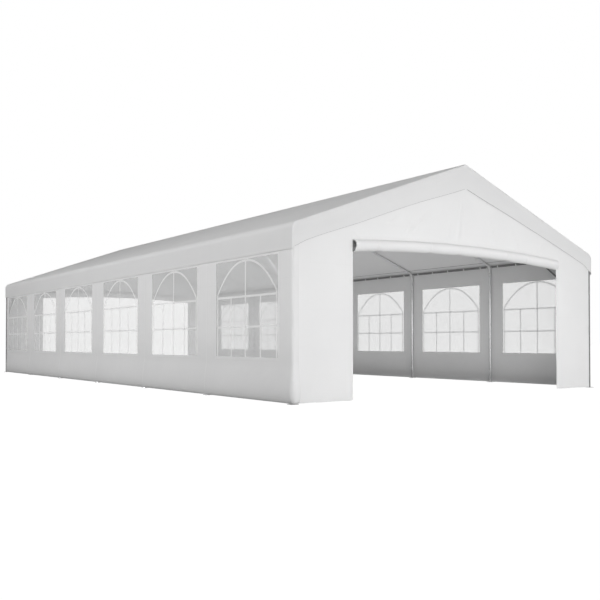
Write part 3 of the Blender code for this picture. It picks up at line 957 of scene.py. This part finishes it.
def make_films(label, turn):
    """The six panes of one wall. Node 1 is nearest the front on both sides."""
    heights = steps(WINDOW_BOTTOM_Z - FILM_OVERLAP, WINDOW_TOP_Z + FILM_OVERLAP, WINDOW_ROWS)
    films = []
    for number, middle in enumerate(BAY_MIDDLES, start=1):
        left, right = window_edges(middle if turn == 0.0 else -middle)
        places = steps(left - FILM_OVERLAP, right + FILM_OVERLAP, WINDOW_COLUMNS)
        film = cloth_mesh(f"film_{label}_{number}", [patch(film_point, places, heights)], FILM, turn)
        films.append(dressed(film, WINDOW_FILM, "window_film", f"window_{label}_{number}"))
    return films


# Repeated parts, made with Geometry Nodes


def new_tree(name, **inputs):
    """A Geometry Nodes tree with named inputs and one geometry output."""
    tree = bpy.data.node_groups.new(name, "GeometryNodeTree")
    tree.is_modifier = True
    for label, kind in inputs.items():
        tree.interface.new_socket(label, in_out="INPUT", socket_type=f"NodeSocket{kind}")
    tree.interface.new_socket("Geometry", in_out="OUTPUT", socket_type="NodeSocketGeometry")
    return tree, tree.nodes.new("NodeGroupInput").outputs


def end_tree(tree, given, geometry):
    """Makes the copies real, gives them the finish and ends the tree."""
    real = add(tree, "GeometryNodeRealizeInstances", _0=geometry)
    paint = add(tree, "GeometryNodeSetMaterial", Geometry=real.outputs[0], Material=given["Finish"])
    add(tree, "NodeGroupOutput", Geometry=paint.outputs[0])
    return tree


def grown(name, mesh, tree, values):
    """A plain mesh of what a tree makes from a mesh. Its inputs are set before it is first evaluated."""
    made = shown(name, mesh)
    modifier = made.modifiers.new("grow", "NODES")
    modifier.node_group = tree
    for item in tree.interface.items_tree:
        if item.item_type == "SOCKET" and item.in_out == "INPUT" and item.name in values:
            modifier[item.identifier] = values[item.name]
    return settled(made)


def repeat_tree():
    """Puts a unit on every point, turned by the point's own angles, in sizes picked by a fixed seed."""
    tree, given = new_tree(
        "unit_on_places",
        Places="Geometry", Unit="Object", Smallest="Float", Largest="Float", Seed="Int", Finish="Material",
    )
    unit = add(tree, "GeometryNodeObjectInfo", Object=given["Unit"])
    angles = tree.nodes.new("GeometryNodeInputNamedAttribute")
    angles.data_type = "FLOAT_VECTOR"
    feed(tree, angles, Name="turn")
    turned = add(tree, "FunctionNodeEulerToRotation", _0=angles.outputs["Attribute"])
    size = add(tree, "FunctionNodeRandomValue", Seed=given["Seed"])
    size.data_type = "FLOAT"
    limits = [socket for socket in size.inputs if socket.type == "VALUE"]
    tree.links.new(given["Smallest"], limits[0])
    tree.links.new(given["Largest"], limits[1])
    picked = [socket for socket in size.outputs if socket.type == "VALUE"]
    copies = add(
        tree, "GeometryNodeInstanceOnPoints",
        Points=given["Places"],
        Instance=unit.outputs["Geometry"],
        Rotation=turned.outputs[0],
        Scale=picked[0],
    )
    return end_tree(tree, given, copies.outputs[0])


def bar_tree():
    """Flat bars along drawn lines, repeated at every window of a wall."""
    tree, given = new_tree(
        "bars_on_windows",
        Lines="Geometry", Windows="Object", Width="Float", Depth="Float", Turn="Vector", Finish="Material",
    )
    curve = add(tree, "GeometryNodeMeshToCurve", _0=given["Lines"])
    upright = add(tree, "GeometryNodeSetCurveNormal", _0=curve.outputs[0])
    upright.mode = "Z_UP"
    width, depth = given["Width"], given["Depth"]
    profile = add(tree, "GeometryNodeCurvePrimitiveQuadrilateral", Width=width, Height=depth)
    swept = add(
        tree, "GeometryNodeCurveToMesh",
        Curve=upright.outputs[0], Profile_Curve=profile.outputs[0], Fill_Caps=True,
    )
    windows = add(tree, "GeometryNodeObjectInfo", Object=given["Windows"])
    turned = add(tree, "FunctionNodeEulerToRotation", _0=given["Turn"])
    copies = add(
        tree, "GeometryNodeInstanceOnPoints",
        Points=windows.outputs["Geometry"], Instance=swept.outputs[0], Rotation=turned.outputs[0],
    )
    return end_tree(tree, given, copies.outputs[0])


REPEAT = repeat_tree()
BARS = bar_tree()


def places_mesh(name, places):
    """Loose points that carry the angles of what will stand on them."""
    mesh = bpy.data.meshes.new(name)
    mesh.from_pydata([spot for spot, _ in places], [], [])
    turn = mesh.attributes.new("turn", "FLOAT_VECTOR", "POINT")
    for item, (_, angles) in zip(turn.data, places):
        item.vector = angles
    return mesh


def facing(direction):
    """The angles that turn a unit's +Z to a direction."""
    return Vector(Vector(direction).to_track_quat("Z", "Y").to_euler())


def repeat(name, unit_mesh, places, finish, slot, sizes=(1.0, 1.0), seed=1):
    unit = shown(f"{name}_unit", unit_mesh)
    values = {"Unit": unit, "Smallest": sizes[0], "Largest": sizes[1], "Seed": seed, "Finish": finish}
    made = grown(name, places_mesh(name, places), REPEAT, values)
    bpy.data.objects.remove(unit, do_unlink=True)
    for face in made.data.polygons:
        face.use_smooth = True
    made.data.set_sharp_from_angle(angle=HARD_EDGE)
    return dressed(made, finish, slot)


def window_lines():
    """The printed pattern of one window in its own plane: X along the wall and Y up from the ground."""
    half = BORDER_HALF
    rise = ARCH_TOP_Z - ARCH_SPRING_Z
    shares = steps(-1.0, 1.0, ARCH_STEPS)

    def upright(x, top):
        return [(x, BAR_BOTTOM_Z), (x, top)]

    def level(z):
        return [(-half, z), (half, z)]

    lines = [
        upright(-half, ARCH_SPRING_Z),
        upright(half, ARCH_SPRING_Z),
        [(half * share, ARCH_TOP_Z - rise * abs(share) ** ARCH_POWER) for share in shares],
        level(TRANSOM_Z),
        level(LOWER_BAR_Z),
        upright(0, ARCH_TOP_Z),
        upright(-half / 2, TRANSOM_Z),
        upright(half / 2, TRANSOM_Z),
    ]
    corners, edges = [], []
    for line in lines:
        fine = [line[0]]
        for (x0, y0), (x1, y1) in zip(line, line[1:]):
            count = max(1, round(math.hypot(x1 - x0, y1 - y0) / BAR_STEP))
            fine += [(x0 + (x1 - x0) * i / count, y0 + (y1 - y0) * i / count) for i in range(1, count + 1)]
        edges += [(len(corners) + i, len(corners) + i + 1) for i in range(len(fine) - 1)]
        corners += [(x, y, 0) for x, y in fine]
    mesh = bpy.data.meshes.new("window_lines")
    mesh.from_pydata(corners, edges, [])
    return mesh


def make_window_bars(label, turn):
    """White bars printed on the outside of the six panes, which follow the wall's soft shape."""
    film_x = -WALL_X + FILM_INSET - FILM / 2 - BAR_LIFT
    spots = bpy.data.meshes.new("window_spots")
    spots.from_pydata([(film_x, middle, 0) for middle in BAY_MIDDLES], [], [])
    windows = shown("window_spots", spots)
    values = {"Windows": windows, "Width": BAR_WIDTH, "Depth": BAR_DEPTH, "Finish": WINDOW_BAR}
    values["Turn"] = (math.pi / 2, 0.0, -math.pi / 2)
    made = grown(f"window_bars_{label}", window_lines(), BARS, values)
    bpy.data.objects.remove(windows, do_unlink=True)
    for vertex in made.data.vertices:
        vertex.co.x -= wall_wave(vertex.co.z, vertex.co.y)
    made.data.set_sharp_from_angle(angle=HARD_EDGE)
    made.data.uv_layers.new(name="flat")
    lay_flat(made, along=1)
    made.data.transform(Matrix.Rotation(turn, 4, "Z"))
    return dressed(made, WINDOW_BAR, "wall_cloth")


# Gable walls

# Each crease: its two ends (x, z), its width and its height
CREASES = (
    ((-1.459, 2.226), (-1.129, 2.434), 0.022, 0.0119),
    ((-1.167, 2.104), (-1.038, 2.305), 0.018, 0.0102),
    ((-1.131, 2.066), (-0.691, 2.451), 0.025, 0.0136),
    ((-0.168, 2.067), (-0.053, 2.749), 0.030, 0.0119),
    ((-0.844, 2.877), (-0.328, 3.029), 0.022, 0.0051),
    ((-0.653, 2.707), (-0.080, 2.916), 0.022, 0.0068),
    ((-0.390, 2.060), (-0.280, 2.480), 0.022, 0.0085),
    ((0.620, 2.050), (0.470, 2.520), 0.024, 0.0085),
    ((1.130, 2.020), (0.930, 2.420), 0.022, 0.0085),
    ((1.560, 1.980), (1.720, 2.300), 0.022, 0.0068),
    ((-1.900, 1.960), (-2.250, 2.180), 0.024, 0.0085),
    ((-2.100, 1.780), (-2.620, 1.930), 0.030, 0.00612),
    ((-2.060, 1.500), (-2.400, 1.300), 0.040, 0.0051),
    ((2.060, 1.700), (2.480, 1.860), 0.028, 0.00612),
)


def roll_height(x):
    """The height of the rolled door's middle."""
    return DOOR_SPRING_Z + DOOR_BOW * max(0.0, 1 - (x / DOOR_HALF) ** 2)


def door_top(x):
    return roll_height(x) + DOORWAY_ABOVE_ROLL


def gable_roof(x):
    return GABLE_TOP_Z - slope_drop(x, GABLE_ROUNDING)


def crease_height(x, z):
    """The height of the creases in the hung cloth, over the doorway and beside it."""
    height = 0.0
    for (x0, z0), (x1, z1), width, rise in CREASES:
        run_x, run_z = x1 - x0, z1 - z0
        length = math.hypot(run_x, run_z)
        share = ((x - x0) * run_x + (z - z0) * run_z) / length**2
        away = abs((x - x0) * run_z - (z - z0) * run_x) / length
        if -0.1 < share < 1.1 and away < width * 3:
            ends = smooth((share + 0.1) / 0.35) * smooth((1.1 - share) / 0.6)
            height += rise * ends * math.exp(-((away / width) ** 2))
    return height


def gable_point(x, z):
    """A point of the front gable wall: nearly flat, with creases and soft swells where nothing holds it."""
    below_roof = gable_roof(x) - z
    loose = smooth(below_roof / HELD_BELOW_ROOF) * smooth((PANEL_HELD_X - abs(x)) / HELD_AT_SIDES)
    free = smooth((below_roof - FREE_BELOW_ROOF) / FREE_FADE)
    swell = GABLE_SWELL * (ripple(x * 1.3, z * 0.9, 41.0) + 0.5 * ripple(x * 4.0, z * 2.2, 44.0))
    push = max(-GABLE_HOLLOW, crease_height(x, z) + swell)
    push = min(PUSH_HELD + PUSH_FREE * free, push)
    lip = 0.0
    if abs(x) < DOOR_HALF:
        near_door = max(0.0, 1 - (z - door_top(x)) / LIP_HEIGHT)
        lip = LIP_REACH * smooth((DOOR_HALF - abs(x)) / LIP_END) * near_door**2
    return Vector((x, -GABLE_Y - push * loose - lip, z))


def head_point(x, share):
    """Over the doorway and above the panels, by the share of the height from the door's top to the roof."""
    low = door_top(x) - (LIP_DROP if abs(x) < DOOR_HALF else 0.0)
    return gable_point(x, low + (gable_roof(x) - low) * share)


def gable_tape_bands():
    """Hems along the doorway's sides, over it and at the foot of the front gable wall."""
    outside = lifted(gable_point, CLOTH)
    low = WALL_BOTTOM_Z + HEM_TAPE
    hem = (WALL_BOTTOM_Z + EDGE_GAP, low - EDGE_GAP)
    tapes = []
    for side, outer in GABLE_TAPE_ENDS.items():
        edge = side * DOOR_HALF
        start = edge + side * EDGE_GAP
        tapes.append(band(outside, (start, edge + side * DOOR_TAPE), (low, door_top(edge)), 2, 60))
        tapes.append(band(outside, (start, outer), hem, PANEL_STEPS, 2))

    def over_door(x, share):
        return outside(x, door_top(x) - LIP_DROP + EDGE_GAP + DOOR_HEAD_TAPE * share)

    return tapes + [band(over_door, (-DOOR_HALF, DOOR_HALF), (0.0, 1.0), HEAD_STEPS, 2)]


def make_gable(label, turn):
    left = steps(GABLE_LEFT_X, -DOOR_HALF, PANEL_STEPS)
    head = steps(-DOOR_HALF, DOOR_HALF, HEAD_STEPS)
    right = steps(DOOR_HALF, GABLE_RIGHT_X, PANEL_STEPS)
    heights = steps(WALL_BOTTOM_Z, door_top(DOOR_HALF), PANEL_ROWS)
    patches = [
        patch(head_point, left[:-1] + head + right[1:], steps(0.0, 1.0, HEAD_ROWS)),
        patch(gable_point, left, heights),
        patch(gable_point, right, heights),
    ]
    wall = cloth_mesh(f"{label}_gable_cloth", patches, CLOTH, turn)
    lay_flat(wall, along=0)
    dressed(wall, GABLE_CLOTH, "gable_cloth", f"{label}_gable_wall")
    strips = cloth_mesh(f"{label}_gable_tapes", gable_tape_bands(), TAPE, turn)
    dressed(strips, GABLE_TAPE, "gable_cloth")
    return wall, strips


# Rolled doors


def roll_radius(x, turned):
    """The radius of the rolled cloth at a place along it, after so many turns from its outside."""
    pinch = min(1.0, sum(math.exp(-(((x - tie) / TIE_REACH) ** 2)) for tie in ROLL_TIES))
    depth = smooth(turned / SLACK_TURN) * (1 - turned / ROLL_TURNS)
    slack = ROLL_SLACK * ripple(x * 2.2, turned * 1.7, 51.0)
    slack += ROLL_FINE_SLACK * ripple(x * 9.0, turned * 2.0, 55.0)
    lead = ROLL_LEAD * smooth(1 - turned / LEAD_TURN)
    return ROLL_OUTER + lead - ROLL_PITCH * turned + (slack - TIE_PINCH * pinch) * depth


def roll_point(x, turned):
    """A point of the roll, which starts on top at the gable wall's edge, goes down the front and inwards."""
    angle = turned * 2 * math.pi + ROLL_START
    x *= 1 - ROLL_SETBACK * max(0.0, turned - SETBACK_TURN) / DOOR_HALF
    radius = roll_radius(x, turned)
    rise = math.sin(angle) * (1 + ROLL_DROOP * smooth(-math.sin(angle)))
    return Vector((x, -GABLE_Y + radius * math.cos(angle), roll_height(x) + radius * rise))


def strap_patch(tie):
    """A strap laid round the roll at one tie, left open behind."""

    def strap_point(across, turned):
        spot = roll_point(tie + across, turned)
        middle = Vector((tie + across, -GABLE_Y, roll_height(tie)))
        return spot + (spot - middle).normalized() * STRAP_LIFT

    return patch(strap_point, steps(-STRAP_HALF, STRAP_HALF, 2), steps(*STRAP_TURN, 28))


def make_rolled_door(label, turn):
    turned = steps(0.0, ROLL_TURNS, round(ROLL_TURNS * ROLL_TURN_STEPS))
    cloth = patch(roll_point, steps(-ROLL_HALF, ROLL_HALF, ROLL_STEPS), turned)
    roll = cloth_mesh(f"{label}_door_cloth", [cloth], CLOTH, turn)
    for item in roll.data.uv_layers["flat"].data:
        item.uv = (item.uv[0], item.uv[1] * ROLL_CLOTH_A_TURN)
    dressed(roll, DOOR_CLOTH, "door_cloth", f"{label}_rolled_door")
    straps = cloth_mesh(f"{label}_door_straps", [strap_patch(tie) for tie in ROLL_TIES], STRAP, turn)
    dressed(straps, GABLE_TAPE, "door_cloth")
    return roll, straps


# Fittings


def ball_mesh():
    bm = bmesh.new()
    bmesh.ops.create_uvsphere(bm, u_segments=9, v_segments=6, radius=BALL_RADIUS)
    bmesh.ops.translate(bm, verts=bm.verts, vec=(0, 0, TUBE_RADIUS + BALL_RADIUS + BALL_GAP))
    return new_mesh("tie_ball", bm)


def hoop_mesh(name, rings):
    """A closed hoop through rings of points, with the last ring joined to the first."""
    bm = bmesh.new()
    rows = [[bm.verts.new(spot) for spot in ring] for ring in rings]
    for row, following in zip(rows, rows[1:] + rows[:1]):
        for i in range(len(row)):
            near = (i + 1) % len(row)
            bm.faces.new((row[i], following[i], following[near], row[near]))
    bmesh.ops.recalc_face_normals(bm, faces=bm.faces)
    return new_mesh(name, bm)


def loop_mesh():
    """An elastic loop round a tube that lies along Y, drawn to the ball on its +Z side."""
    across = Vector((0, CORD_RADIUS, 0))
    sides = full_turn(CORD_SIDES)
    rings = []
    for angle in full_turn(LOOP_STEPS):
        out = Vector((math.sin(angle), 0, math.cos(angle)))
        centre = out * (LOOP_RADIUS + LOOP_DRAWN * max(0.0, math.cos(angle)) ** 6)
        wide = out * CORD_RADIUS
        rings.append([centre + wide * math.cos(side) + across * math.sin(side) for side in sides])
    return hoop_mesh("tie_loop", rings)


def tab_mesh():
    """A cloth tab wrapped round a tube that lies along Y."""
    section = ((TAB_INNER, -TAB_HALF), (TAB_OUTER, -TAB_HALF), (TAB_OUTER, TAB_HALF), (TAB_INNER, TAB_HALF))
    rings = [
        [(radius * math.cos(angle), y, radius * math.sin(angle)) for angle in full_turn(TAB_SIDES)]
        for radius, y in section
    ]
    return hoop_mesh("wall_tab", rings)


def bolt_mesh():
    """A hexagon screw head on a washer, standing on a connector."""
    bm = bmesh.new()
    for sides, radius, low, high in BOLT_PARTS:
        bmesh.ops.create_cone(
            bm,
            cap_ends=True,
            segments=sides,
            radius1=radius,
            radius2=radius * BOLT_TAPER,
            depth=high - low,
            matrix=Matrix.Translation((0, 0, SLEEVE_RADIUS - BOLT_SUNK + (low + high) / 2)),
        )
    return new_mesh("connector_bolt", bm)


def slope_spot(side, run, y):
    return Vector((side * run * math.cos(PITCH), y, APEX_Z - run * math.sin(PITCH)))


def turned_inwards(along, inward):
    """The angles that lay a unit's +Y along a tube and turn its +Z inwards."""
    return Vector(Matrix((along.cross(inward), along, inward)).transposed().to_euler())


def tie_places():
    """Elastic ties inside the tent, on the legs and the rafters."""
    up = Vector((0, 0, 1))
    places = []
    for side in (-1, 1):
        down = Vector((side * math.cos(PITCH), 0, -math.sin(PITCH)))
        under = Vector((-side * math.sin(PITCH), 0, -math.cos(PITCH)))
        for y in FRAME_YS:
            inward = Vector((-side * TIE_INWARD, TIE_TO_MIDDLE if y < 0 else -TIE_TO_MIDDLE, 0)).normalized()
            for z in LEG_TIE_ZS:
                places.append((Vector((side * LEG_X, y, z)), turned_inwards(up, inward)))
            for run in RAFTER_TIE_RUNS:
                places.append((slope_spot(side, run, y), turned_inwards(down, under)))
    return places


def tab_places():
    """The tabs that hang the side walls on the eave poles."""
    ys = [-HALF_LENGTH + TAB_SPACING * (i + 0.5) for i in range(round(2 * HALF_LENGTH / TAB_SPACING))]
    return [(Vector((side * EAVE_POLE_X, y, EAVE_POLE_Z)), Vector((0, 0, 0))) for side in (-1, 1) for y in ys]


def bolt_places():
    """Screws on every connector: on the eave sleeves, the leg sockets and the rafter sockets."""
    places = []
    for y in FRAME_YS:
        for side in (-1, 1):
            for away in (-SLEEVE_BOLT, SLEEVE_BOLT):
                if abs(y + away) < HALF_LENGTH:
                    sleeve = Vector((side * EAVE_POLE_X, y + away, EAVE_POLE_Z))
                    places.append((sleeve, facing((-side * 0.6, 0, -0.8))))
            leg_socket = Vector((side * LEG_X, y, LEG_TOP_Z + SOCKET_BOLT))
            places.append((leg_socket, facing((-side, 0, 0))))
            below = facing((-side * math.sin(PITCH), 0, -math.cos(PITCH)))
            places.append((slope_spot(side, RAFTER_BOTTOM + SOCKET_BOLT, y), below))
            places.append((slope_spot(side, RAFTER_TOP - SOCKET_BOLT, y), below))
    return places


def make_fittings():
    ties = tie_places()
    repeat("tie_balls", ball_mesh(), ties, BALL, "frame_tube", sizes=(0.95, 1.05), seed=4)
    repeat("tie_loops", loop_mesh(), ties, CORD, "frame_tube")
    repeat("wall_tabs", tab_mesh(), tab_places(), CORD, "wall_cloth")
    repeat("connector_bolts", bolt_mesh(), bolt_places(), BOLT, "frame_tube")


def coat_frame():
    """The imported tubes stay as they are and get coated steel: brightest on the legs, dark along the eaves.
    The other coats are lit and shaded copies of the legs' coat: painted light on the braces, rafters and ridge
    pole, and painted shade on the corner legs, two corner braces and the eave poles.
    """
    coats = (
        (("leg_",), TUBE),
        # Painted light on the corner braces
        (("corner_brace_",), BRACE_LIT_TUBE),
        # Painted shade on two of the corner braces and on the corner legs
        (("corner_brace_front_right", "corner_brace_back_left"), CORNER_SHADED_TUBE),
        (("leg_left_1", "leg_left_7", "leg_right_1", "leg_right_7"), CORNER_SHADED_TUBE),
        # Painted light on the rafters and ridge pole
        (("rafter_", "ridge_pole"), RAFTER_LIT_TUBE),
        # Painted shade along the eave poles
        (("eave_pole_",), EAVE_SHADED_TUBE),
    )
    for parts, coat in coats:
        for name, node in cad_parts.items():
            if name.startswith(parts):
                for holder in node.material_slots:
                    holder.material = coat


# Building

roof = make_roof_cover()
roof_tapes = make_roof_tapes()
roof_welts = make_roof_welts()
rake_hem_shadows = make_rake_hem_shadows()
for label, turn in LEFT_AND_RIGHT:
    wall, tapes = make_side_wall(label, turn)
    bars = make_window_bars(label, turn)
    for film in make_films(label, turn):
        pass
for label, turn in FRONT_AND_BACK:
    gable, strips = make_gable(label, turn)
    roll, straps = make_rolled_door(label, turn)
make_fittings()
coat_frame()


# Floor, light and camera

FLOOR_REACH = 150.0
FLOOR_SHADE = 0.16
FLOOR_WHITE = 1.08
FLOOR_WHITE_SHARE = 0.94
LOW_SKY = 0.14
HIGH_SKY = 0.44


def camera_sees(tree):
    """1 for what the camera sees directly, and 0 for light on the tent."""
    return add(tree, "ShaderNodeLightPath").outputs["Is Camera Ray"]


def make_floor():
    mesh = bpy.data.meshes.new("pale_floor")
    corners = [(x * FLOOR_REACH, y * FLOOR_REACH, 0) for x, y in ((-1, -1), (1, -1), (1, 1), (-1, 1))]
    mesh.from_pydata(corners, [], [(0, 1, 2, 3)])
    floor = shown("pale_floor", mesh)
    made, tree, shader = new_finish("pale_floor")
    cloudy = clouds(tree, own_place(tree), scale=0.8, detail=4.0)
    feed(tree, shader, Base_Color=grey(FLOOR_SHADE), Roughness=varied(tree, cloudy, 0.75, 0.85))
    white = add(tree, "ShaderNodeEmission", Color=grey(1), Strength=FLOOR_WHITE)
    share = maths(tree, "MULTIPLY", camera_sees(tree), FLOOR_WHITE_SHARE)
    set_surface(tree, mix_shaders(tree, share, shader.outputs[0], white.outputs[0]))
    mesh.materials.append(made)


def make_sky(zenith, horizon, front):
    """A white backdrop for the camera, and for the tent a soft room, brighter low down and in front."""
    world = bpy.data.worlds.new("soft_room")
    bpy.context.scene.world = world
    world.use_nodes = True
    tree = world.node_tree
    direction = add(tree, "ShaderNodeTexCoord").outputs["Generated"]
    split = add(tree, "ShaderNodeSeparateXYZ", Vector=direction)
    low = fade(tree, maths(tree, "ABSOLUTE", split.outputs[2]), LOW_SKY, HIGH_SKY, 1.0, 0.0)
    base = maths(tree, "MULTIPLY_ADD", low, horizon - zenith, zenith)
    ahead = maths(tree, "MAXIMUM", maths(tree, "MULTIPLY", split.outputs[1], -1.0), 0.0)
    strength = maths(tree, "MULTIPLY_ADD", maths(tree, "MULTIPLY", ahead, low), front, base)
    room = feed(tree, tree.nodes["Background"], Color=grey(1), Strength=strength)
    backdrop = add(tree, "ShaderNodeBackground", Color=grey(1), Strength=1.0)
    both = mix_shaders(tree, camera_sees(tree), room.outputs[0], backdrop.outputs[0])
    set_surface(tree, both, "World Output")


def soft_box(name, spot, target, size, power, spread=180.0, mirrored_in_tubes=True, only_mirrored=False):
    light = bpy.data.lights.new(name, "AREA")
    light.shape = "RECTANGLE"
    light.size, light.size_y = size
    light.energy = power
    light.spread = math.radians(spread)
    holder = shown(name, light)
    holder.location = spot
    holder.rotation_euler = (Vector(target) - Vector(spot)).to_track_quat("-Z", "Y").to_euler()
    holder.visible_camera = False
    holder.visible_glossy = mirrored_in_tubes
    holder.visible_diffuse = not only_mirrored
    holder.visible_transmission = not only_mirrored


def make_lights():
    soft_box("left_soft_box", (-16.0, -1.5, 8.8), (-2.9, -1.5, 1.3), (14.0, 6.0), power=1530.0)
    soft_box("right_soft_box", (16.0, 0.0, 6.0), (2.9, 0.0, 1.3), (14.0, 5.0), power=800.0)
    soft_box("back_soft_box", (5.0, 20.0, 3.0), (0.0, 6.0, 1.5), (10.0, 4.0), power=700.0)
    soft_box("front_soft_box", (-3.5, -16.0, 8.0), (0.0, -6.0, 1.6), (12.0, 6.0), power=325.0)
    soft_box(
        "low_soft_box", (0.2, -11.5, 0.36), (0.0, -6.0, 1.6), (9.0, 0.7), power=256.0, mirrored_in_tubes=False
    )
    soft_box(
        "inside_soft_box", (0.0, 0.0, 0.05), (0.0, 0.0, 3.0), (5.6, 11.8), power=110.0, spread=170.0,
        mirrored_in_tubes=False,
    )
    soft_box("mirrored_box", (-9.0, -8.0, 1.4), (2.9, -3.0, 1.2), (12.0, 3.0), power=90.0, only_mirrored=True)


def make_camera():
    data = bpy.data.cameras.new("camera")
    data.sensor_width = 36.0
    data.lens = 45.93
    data.shift_y = 0.0497
    camera = shown("camera", data)
    camera.location = (-7.995, -13.203, 0.7125)
    camera.rotation_euler = (math.radians(90.95), 0.0, math.radians(-35.84))
    bpy.context.scene.camera = camera


make_floor()
make_sky(zenith=0.14, horizon=0.85, front=0.9)
make_lights()
make_camera()
bpy.context.scene.view_settings.view_transform = "Standard"
